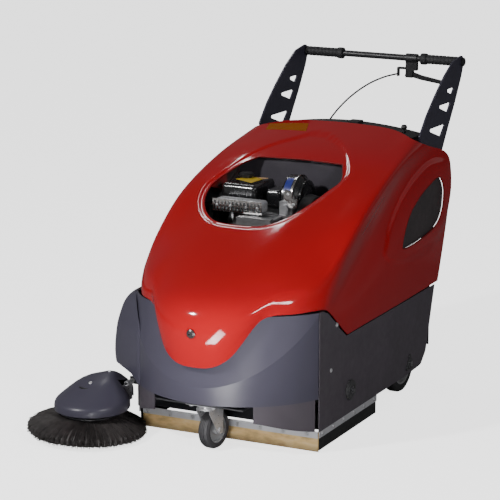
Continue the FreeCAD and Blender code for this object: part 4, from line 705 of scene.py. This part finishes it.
outer, inner = cover_rings(0, 0), cover_rings(3, 3)
verts = [L(*q) for ring in outer + inner for q in ring]
count, layers = COVER_COUNT, len(outer)
lining = layers * count
faces = []
for k in range(layers - 1):
    for a, b, c, d in ring_faces(k * count, (k + 1) * count, count):
        faces += [(a, b, c, d), (lining + b, lining + a, lining + d, lining + c)]
faces += [(i, lining + i, lining + (i + 1) % count, (i + 1) % count) for i in range(count)]
top = (layers - 1) * count
faces += [tuple(top + i for i in range(count)), tuple(lining + top + i for i in reversed(range(count)))]
mesh = bpy.data.meshes.new("cover_blank")
mesh.from_pydata(verts, [], faces)
face_outwards(mesh)
# room for the hinge's knuckle on the body
gap = [(-347, -86), (-347, 90), (-200, 90), (-200, -86)]
mesh = cut_away(mesh, [prism([(x, y, 60) for x, y in gap], [(x, y, 177) for x, y in gap])])
cover_piece = place("side_cover_shell", mesh, "bumper_paint", "side_arm", 32)
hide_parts("side_brush_cover")
cover_tree = BVHTree.FromPolygons([v.co.copy() for v in mesh.vertices],
                                  [tuple(f.vertices) for f in mesh.polygons])


def dome_screw(name, place_, normal, radius, slot, body, material="zinc_steel"):
    """Round-headed screw with a cross recess, standing on a surface."""
    first = normal.orthogonal().normalized()
    other = normal.cross(first)
    profile = [(1.0, 0.0), (1.0, 0.12), (0.92, 0.34), (0.72, 0.52), (0.42, 0.62), (0.2, 0.64)]
    sides, verts, faces = 20, [], []
    for r, h in profile:
        verts += [place_ + circle_step(k, sides, first, other) * radius * r + normal * radius * h
                  for k in range(sides)]
    hub = len(verts)
    verts.append(place_ + normal * radius * 0.40)
    for j in range(len(profile) - 1):
        faces += ring_faces(j * sides, (j + 1) * sides, sides)
    last = (len(profile) - 1) * sides
    faces += [(last + k, last + (k + 1) % sides, hub) for k in range(sides)]
    faces.append(tuple(reversed(range(sides))))
    return add_mesh(name, verts, faces, slot, body, 50, material)


for i, (x, y) in enumerate([(-386, -62), (-402, -158)]):
    spot, normal, _, _ = cover_tree.ray_cast(L(x, y, 400), Vector((0, 0, -1)))
    dome_screw("cover_screw_%d" % i, spot - normal * 0.0006, normal, 0.0062, "zinc_steel", "side_arm")

# ---- engine details ------------------------------------------------------------------------------


def decal(name, corners, slot, body, material, steps=8):
    """Thin blank sticker over four corners that are already on the surface."""
    corners = [Vector(q) for q in corners]
    normal = (corners[1] - corners[0]).cross(corners[3] - corners[0]).normalized()
    verts = []
    for lift in (0.0006, 0.0):
        for i in range(steps + 1):
            for j in range(steps + 1):
                verts.append(blend_corners(corners, i / steps, j / steps) + normal * lift)
    return add_mesh(name, verts, sticker_faces(steps + 1, steps + 1), slot, body, 60, material)


def lathe(name, profile, origin, slot, body, material=None, segments=72, smooth=35.0):
    """Turned piece about an axis along +X; profile is (radius, x) in mm, closed on itself."""
    verts, faces, m = [], [], len(profile)
    for k in range(segments):
        a = 2 * math.pi * k / segments
        verts += [L(origin[0] + x, origin[1] + r * math.cos(a), origin[2] + r * math.sin(a))
                  for r, x in profile]
    for k in range(segments):
        j = (k + 1) % segments
        faces += [(k * m + i, k * m + (i + 1) % m, j * m + (i + 1) % m, j * m + i) for i in range(m)]
    return add_mesh(name, verts, faces, slot, body, smooth, material)


def slotted_plate(name, xs, zs, open_cells, y0, y1, slot, body, material, lean=0.0):
    """Sheet on a grid of cells with some of them open."""
    w, verts, faces = len(zs), [], []
    for y in (y0, y1):
        verts += [L(x, y + lean * (z - zs[0]), z) for x in xs for z in zs]
    half = len(xs) * w
    solid = {(i, j) for i in range(len(xs) - 1) for j in range(w - 1)} - set(open_cells)
    for i, j in sorted(solid):
        quad = [i * w + j, (i + 1) * w + j, (i + 1) * w + j + 1, i * w + j + 1]
        faces += [tuple(quad), tuple(half + q for q in reversed(quad))]
        for (di, dj), (p_, q_) in zip(((0, -1), (1, 0), (0, 1), (-1, 0)), zip(quad, quad[1:] + quad[:1])):
            if (i + di, j + dj) not in solid:
                faces.append((q_, p_, half + p_, half + q_))
    return add_mesh(name, verts, faces, slot, body, 30, material)


slots, slot_pitch = 13, 13
guard_x = [-192.0]
for i in range(slots):
    guard_x += [-186.0 + slot_pitch * i, -178.5 + slot_pitch * i]
guard_x.append(-16.0)
openings = [(2 * i + 1, j) for i in range(slots) for j in (1, 3)]
slotted_plate("muffler_guard", guard_x, [663, 669, 681, 686, 698, 704], openings, 281.5, 283.0, "zinc_steel",
              "chassis", "exhaust_steel", -0.02)
for i, x in enumerate((-176, -128, -72, -32)):
    dome_screw("guard_screw_%d" % i, L(x, 281.2, 683.5), Vector((0, -1, 0)), 0.0046, "zinc_steel", "chassis")

flange = [(37, 741), (66, 735), (64, 716), (83, 710), (81, 681), (55, 681), (46, 700), (33, 712)]
mesh = prism([(x, 338, z) for x, z in flange], [(x, 347, z) for x, z in flange])
bm = bmesh.new()
bm.from_mesh(mesh)
bmesh.ops.bevel(bm, geom=bm.edges[:], offset=0.0022, segments=3, profile=0.6, affect="EDGES")
bm.to_mesh(mesh)
bm.free()
place("carburettor_flange", mesh, "engine_alloy", "chassis", 35, "exhaust_steel")
dome_screw("flange_screw_0", L(50, 338, 728), Vector((0, -1, 0)), 0.0048, "zinc_steel", "chassis")
dome_screw("flange_screw_1", L(70, 338, 695), Vector((0, -1, 0)), 0.0048, "zinc_steel", "chassis")
sweep("intake_pipe", [L(58, 346, 706), L(50, 362, 712), L(34, 386, 716), L(20, 404, 712)], 0.011,
      "engine_alloy", "chassis", sides=20, material="engine_alloy")

CANISTER = (0, 466, 690)
ribs = [(60, 61.0), (52, 64.5), (44, 64.5), (42, 62.0), (34, 62.0), (32, 65.5), (20, 66.5), (18, 63.0),
        (10, 63.0), (9, 70.0), (0.4, 71.0), (0.4, 58.0), (40, 56.0), (58, 52.0)]
lathe("canister_lid", ribs, CANISTER, "black_plastic", "chassis", "tank_black")
lathe("canister_band", [(74.6, 30.0), (76.4, 31.0), (76.4, 37.0), (74.6, 38.0)], CANISTER, "zinc_steel",
      "chassis", "exhaust_steel", 96)

label_rows, label_cols, label_r = 9, 5, 74
verts = []
for lift in (0.6, 0.05):
    for i in range(label_rows):
        a = math.radians(112 + 44 * i / (label_rows - 1))
        for j in range(label_cols):
            x = 4 + 24 * j / (label_cols - 1)
            verts.append(L(x, CANISTER[1] + (label_r + lift) * math.cos(a),
                           CANISTER[2] + (label_r + lift) * math.sin(a)))
half, faces = label_rows * label_cols, []
for i in range(label_rows - 1):
    for j in range(label_cols - 1):
        near, far = i * label_cols + j, (i + 1) * label_cols + j
        quad = (near, near + 1, far + 1, far)
        faces += [quad, tuple(half + q for q in reversed(quad))]
rim = edge_loop(label_rows, label_cols)
faces += [(q_, p_, half + p_, half + q_) for p_, q_ in zip(rim, rim[1:] + rim[:1])]
add_mesh("canister_label", verts, faces, "black_plastic", "chassis", 60, "blue_label")

top_z = (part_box("fuel_tank")[1].z - L(0, 0, 0).z) * 1000 - 4
decal("tank_label", [L(-186, 436, top_z), L(-112, 402, top_z), L(-104, 470, top_z), L(-152, 492, top_z)],
      "tank_black", "chassis", "yellow_label")
decal("tank_strip", [L(-146, 493, top_z), L(-103, 474, top_z), L(-92, 486, top_z), L(-96, 494, top_z)],
      "tank_black", "chassis", "tan_label")

# ---- hood label ------------------------------------------------------------------------------------
plate = [np.array(q, float) for q in ((-104, 826), (-82, 757), (-236, 763), (-247, 818))]
steps = 14
spots = [blend_corners(plate, i / steps, j / steps) for i in range(steps + 1) for j in range(steps + 1)]
verts = [on_hood(x, y, depth)[0] for depth in (-0.0008, 0.0002) for x, y in spots]
faces = sticker_faces(steps + 1, steps + 1)
add_mesh("deck_label", verts, faces, "hood_red", "hood_cover", 60, "amber_label")

frame["nodes"]["nose_lock"].data.materials[0] = MAT["lock_dark"]

# ---- camera, light, floor --------------------------------------------------------------------
AZIMUTH, ELEVATION = math.radians(26.31), math.radians(13.42)
camera = bpy.data.cameras.new("camera")
camera.lens, camera.sensor_width = 172.59, 36.0
camera.clip_end = 100.0
camera_object = bpy.data.objects.new("camera", camera)
back = Vector((math.sin(AZIMUTH) * math.cos(ELEVATION), -math.cos(AZIMUTH) * math.cos(ELEVATION),
               math.sin(ELEVATION)))
side = Vector((math.cos(AZIMUTH), math.sin(AZIMUTH), 0))
up = back.cross(side)
turn = Matrix((side, up, back)).transposed().to_4x4()
camera_object.matrix_world = Matrix.Translation(L(3268.23, -6444.24, 2334.98)) @ turn
bpy.context.scene.collection.objects.link(camera_object)
bpy.context.scene.camera = camera_object


def softbox(name, location, target, width, height, power, roll=0.0):
    """Rectangular lamp that the camera doesn't see, aimed at the target and rolled about its beam."""
    light = bpy.data.lights.new(name, "AREA")
    light.shape, light.size, light.size_y = "RECTANGLE", width, height
    light.energy = power
    obj = bpy.data.objects.new(name, light)
    obj.location = location
    aim = (Vector(target) - Vector(location)).to_track_quat("-Z", "Y")
    obj.rotation_euler = (aim @ Quaternion((0, 0, 1), math.radians(roll))).to_euler()
    bpy.context.scene.collection.objects.link(obj)
    obj.visible_camera = False
    return obj


middle = L(0, 350, 450)


def towards(azimuth, elevation, distance, about=(0, 300, 600)):
    """Place that far from the point, azimuth 0 in front and 90 on the +X side."""
    a, e = math.radians(azimuth), math.radians(elevation)
    return L(*about) + Vector((math.sin(a) * math.cos(e), -math.cos(a) * math.cos(e), math.sin(e))) * distance


softbox("key", towards(-32, 34, 4.2), middle, 0.26, 0.26, 120)
softbox("rear_strip", towards(-141, 47, 3.4), L(0, 400, 700), 0.07, 1.3, 9)
NOSE = (80, -220, 390)
low_front = softbox("low_front", towards(10, -18, 0.95, NOSE), L(*NOSE), 0.72, 0.26, 4.6, 42)
low_front.data.spread = math.radians(70)
softbox("camera_side", towards(58, 24, 5.0), middle, 0.7, 0.7, 72)


def ground(name, height, colour, glow):
    """Wide flat sheet that belongs to the stage."""
    mesh = bpy.data.meshes.new(name)
    reach = 40
    corners = [(-reach, -reach, height), (reach, -reach, height),
               (reach, reach, height), (-reach, reach, height)]
    mesh.from_pydata(corners, [], [(0, 1, 2, 3)])
    obj = bpy.data.objects.new(name, mesh)
    bpy.context.scene.collection.objects.link(obj)
    mat, _, bsdf = new_material(name)
    bsdf.inputs["Base Color"].default_value = (colour, colour, colour, 1)
    bsdf.inputs["Roughness"].default_value = 0.9
    bsdf.inputs["Specular IOR Level"].default_value = 0.1
    bsdf.inputs["Emission Color"].default_value = (1, 1, 1, 1)
    bsdf.inputs["Emission Strength"].default_value = glow
    mesh.materials.append(mat)
    return obj


# the pale floor that is seen, and under it a grey one that gives the bounce light and the reflections
floor = ground("floor", 0.0, 0.86, 2.1)
floor.visible_diffuse = floor.visible_glossy = floor.visible_transmission = floor.visible_shadow = False
bounce = ground("bounce", -0.001, 0.34, 0.0)
bounce.visible_camera = False

world = bpy.data.worlds.new("studio")
world.use_nodes = True
sky = world.node_tree
background = sky.nodes["Background"]
up_vector = sky.nodes.new("ShaderNodeTexCoord")
height = sky.nodes.new("ShaderNodeSeparateXYZ")
sky.links.new(up_vector.outputs["Generated"], height.inputs[0])
sky.links.new(ramp(sky, height.outputs["Z"], [(0.0, (0.9, 0.9, 0.9)), (0.25, (0.55, 0.55, 0.56)),
                                              (1.0, (0.30, 0.30, 0.31))]), background.inputs["Color"])
background.inputs["Strength"].default_value = 0.28
bpy.context.scene.world = world
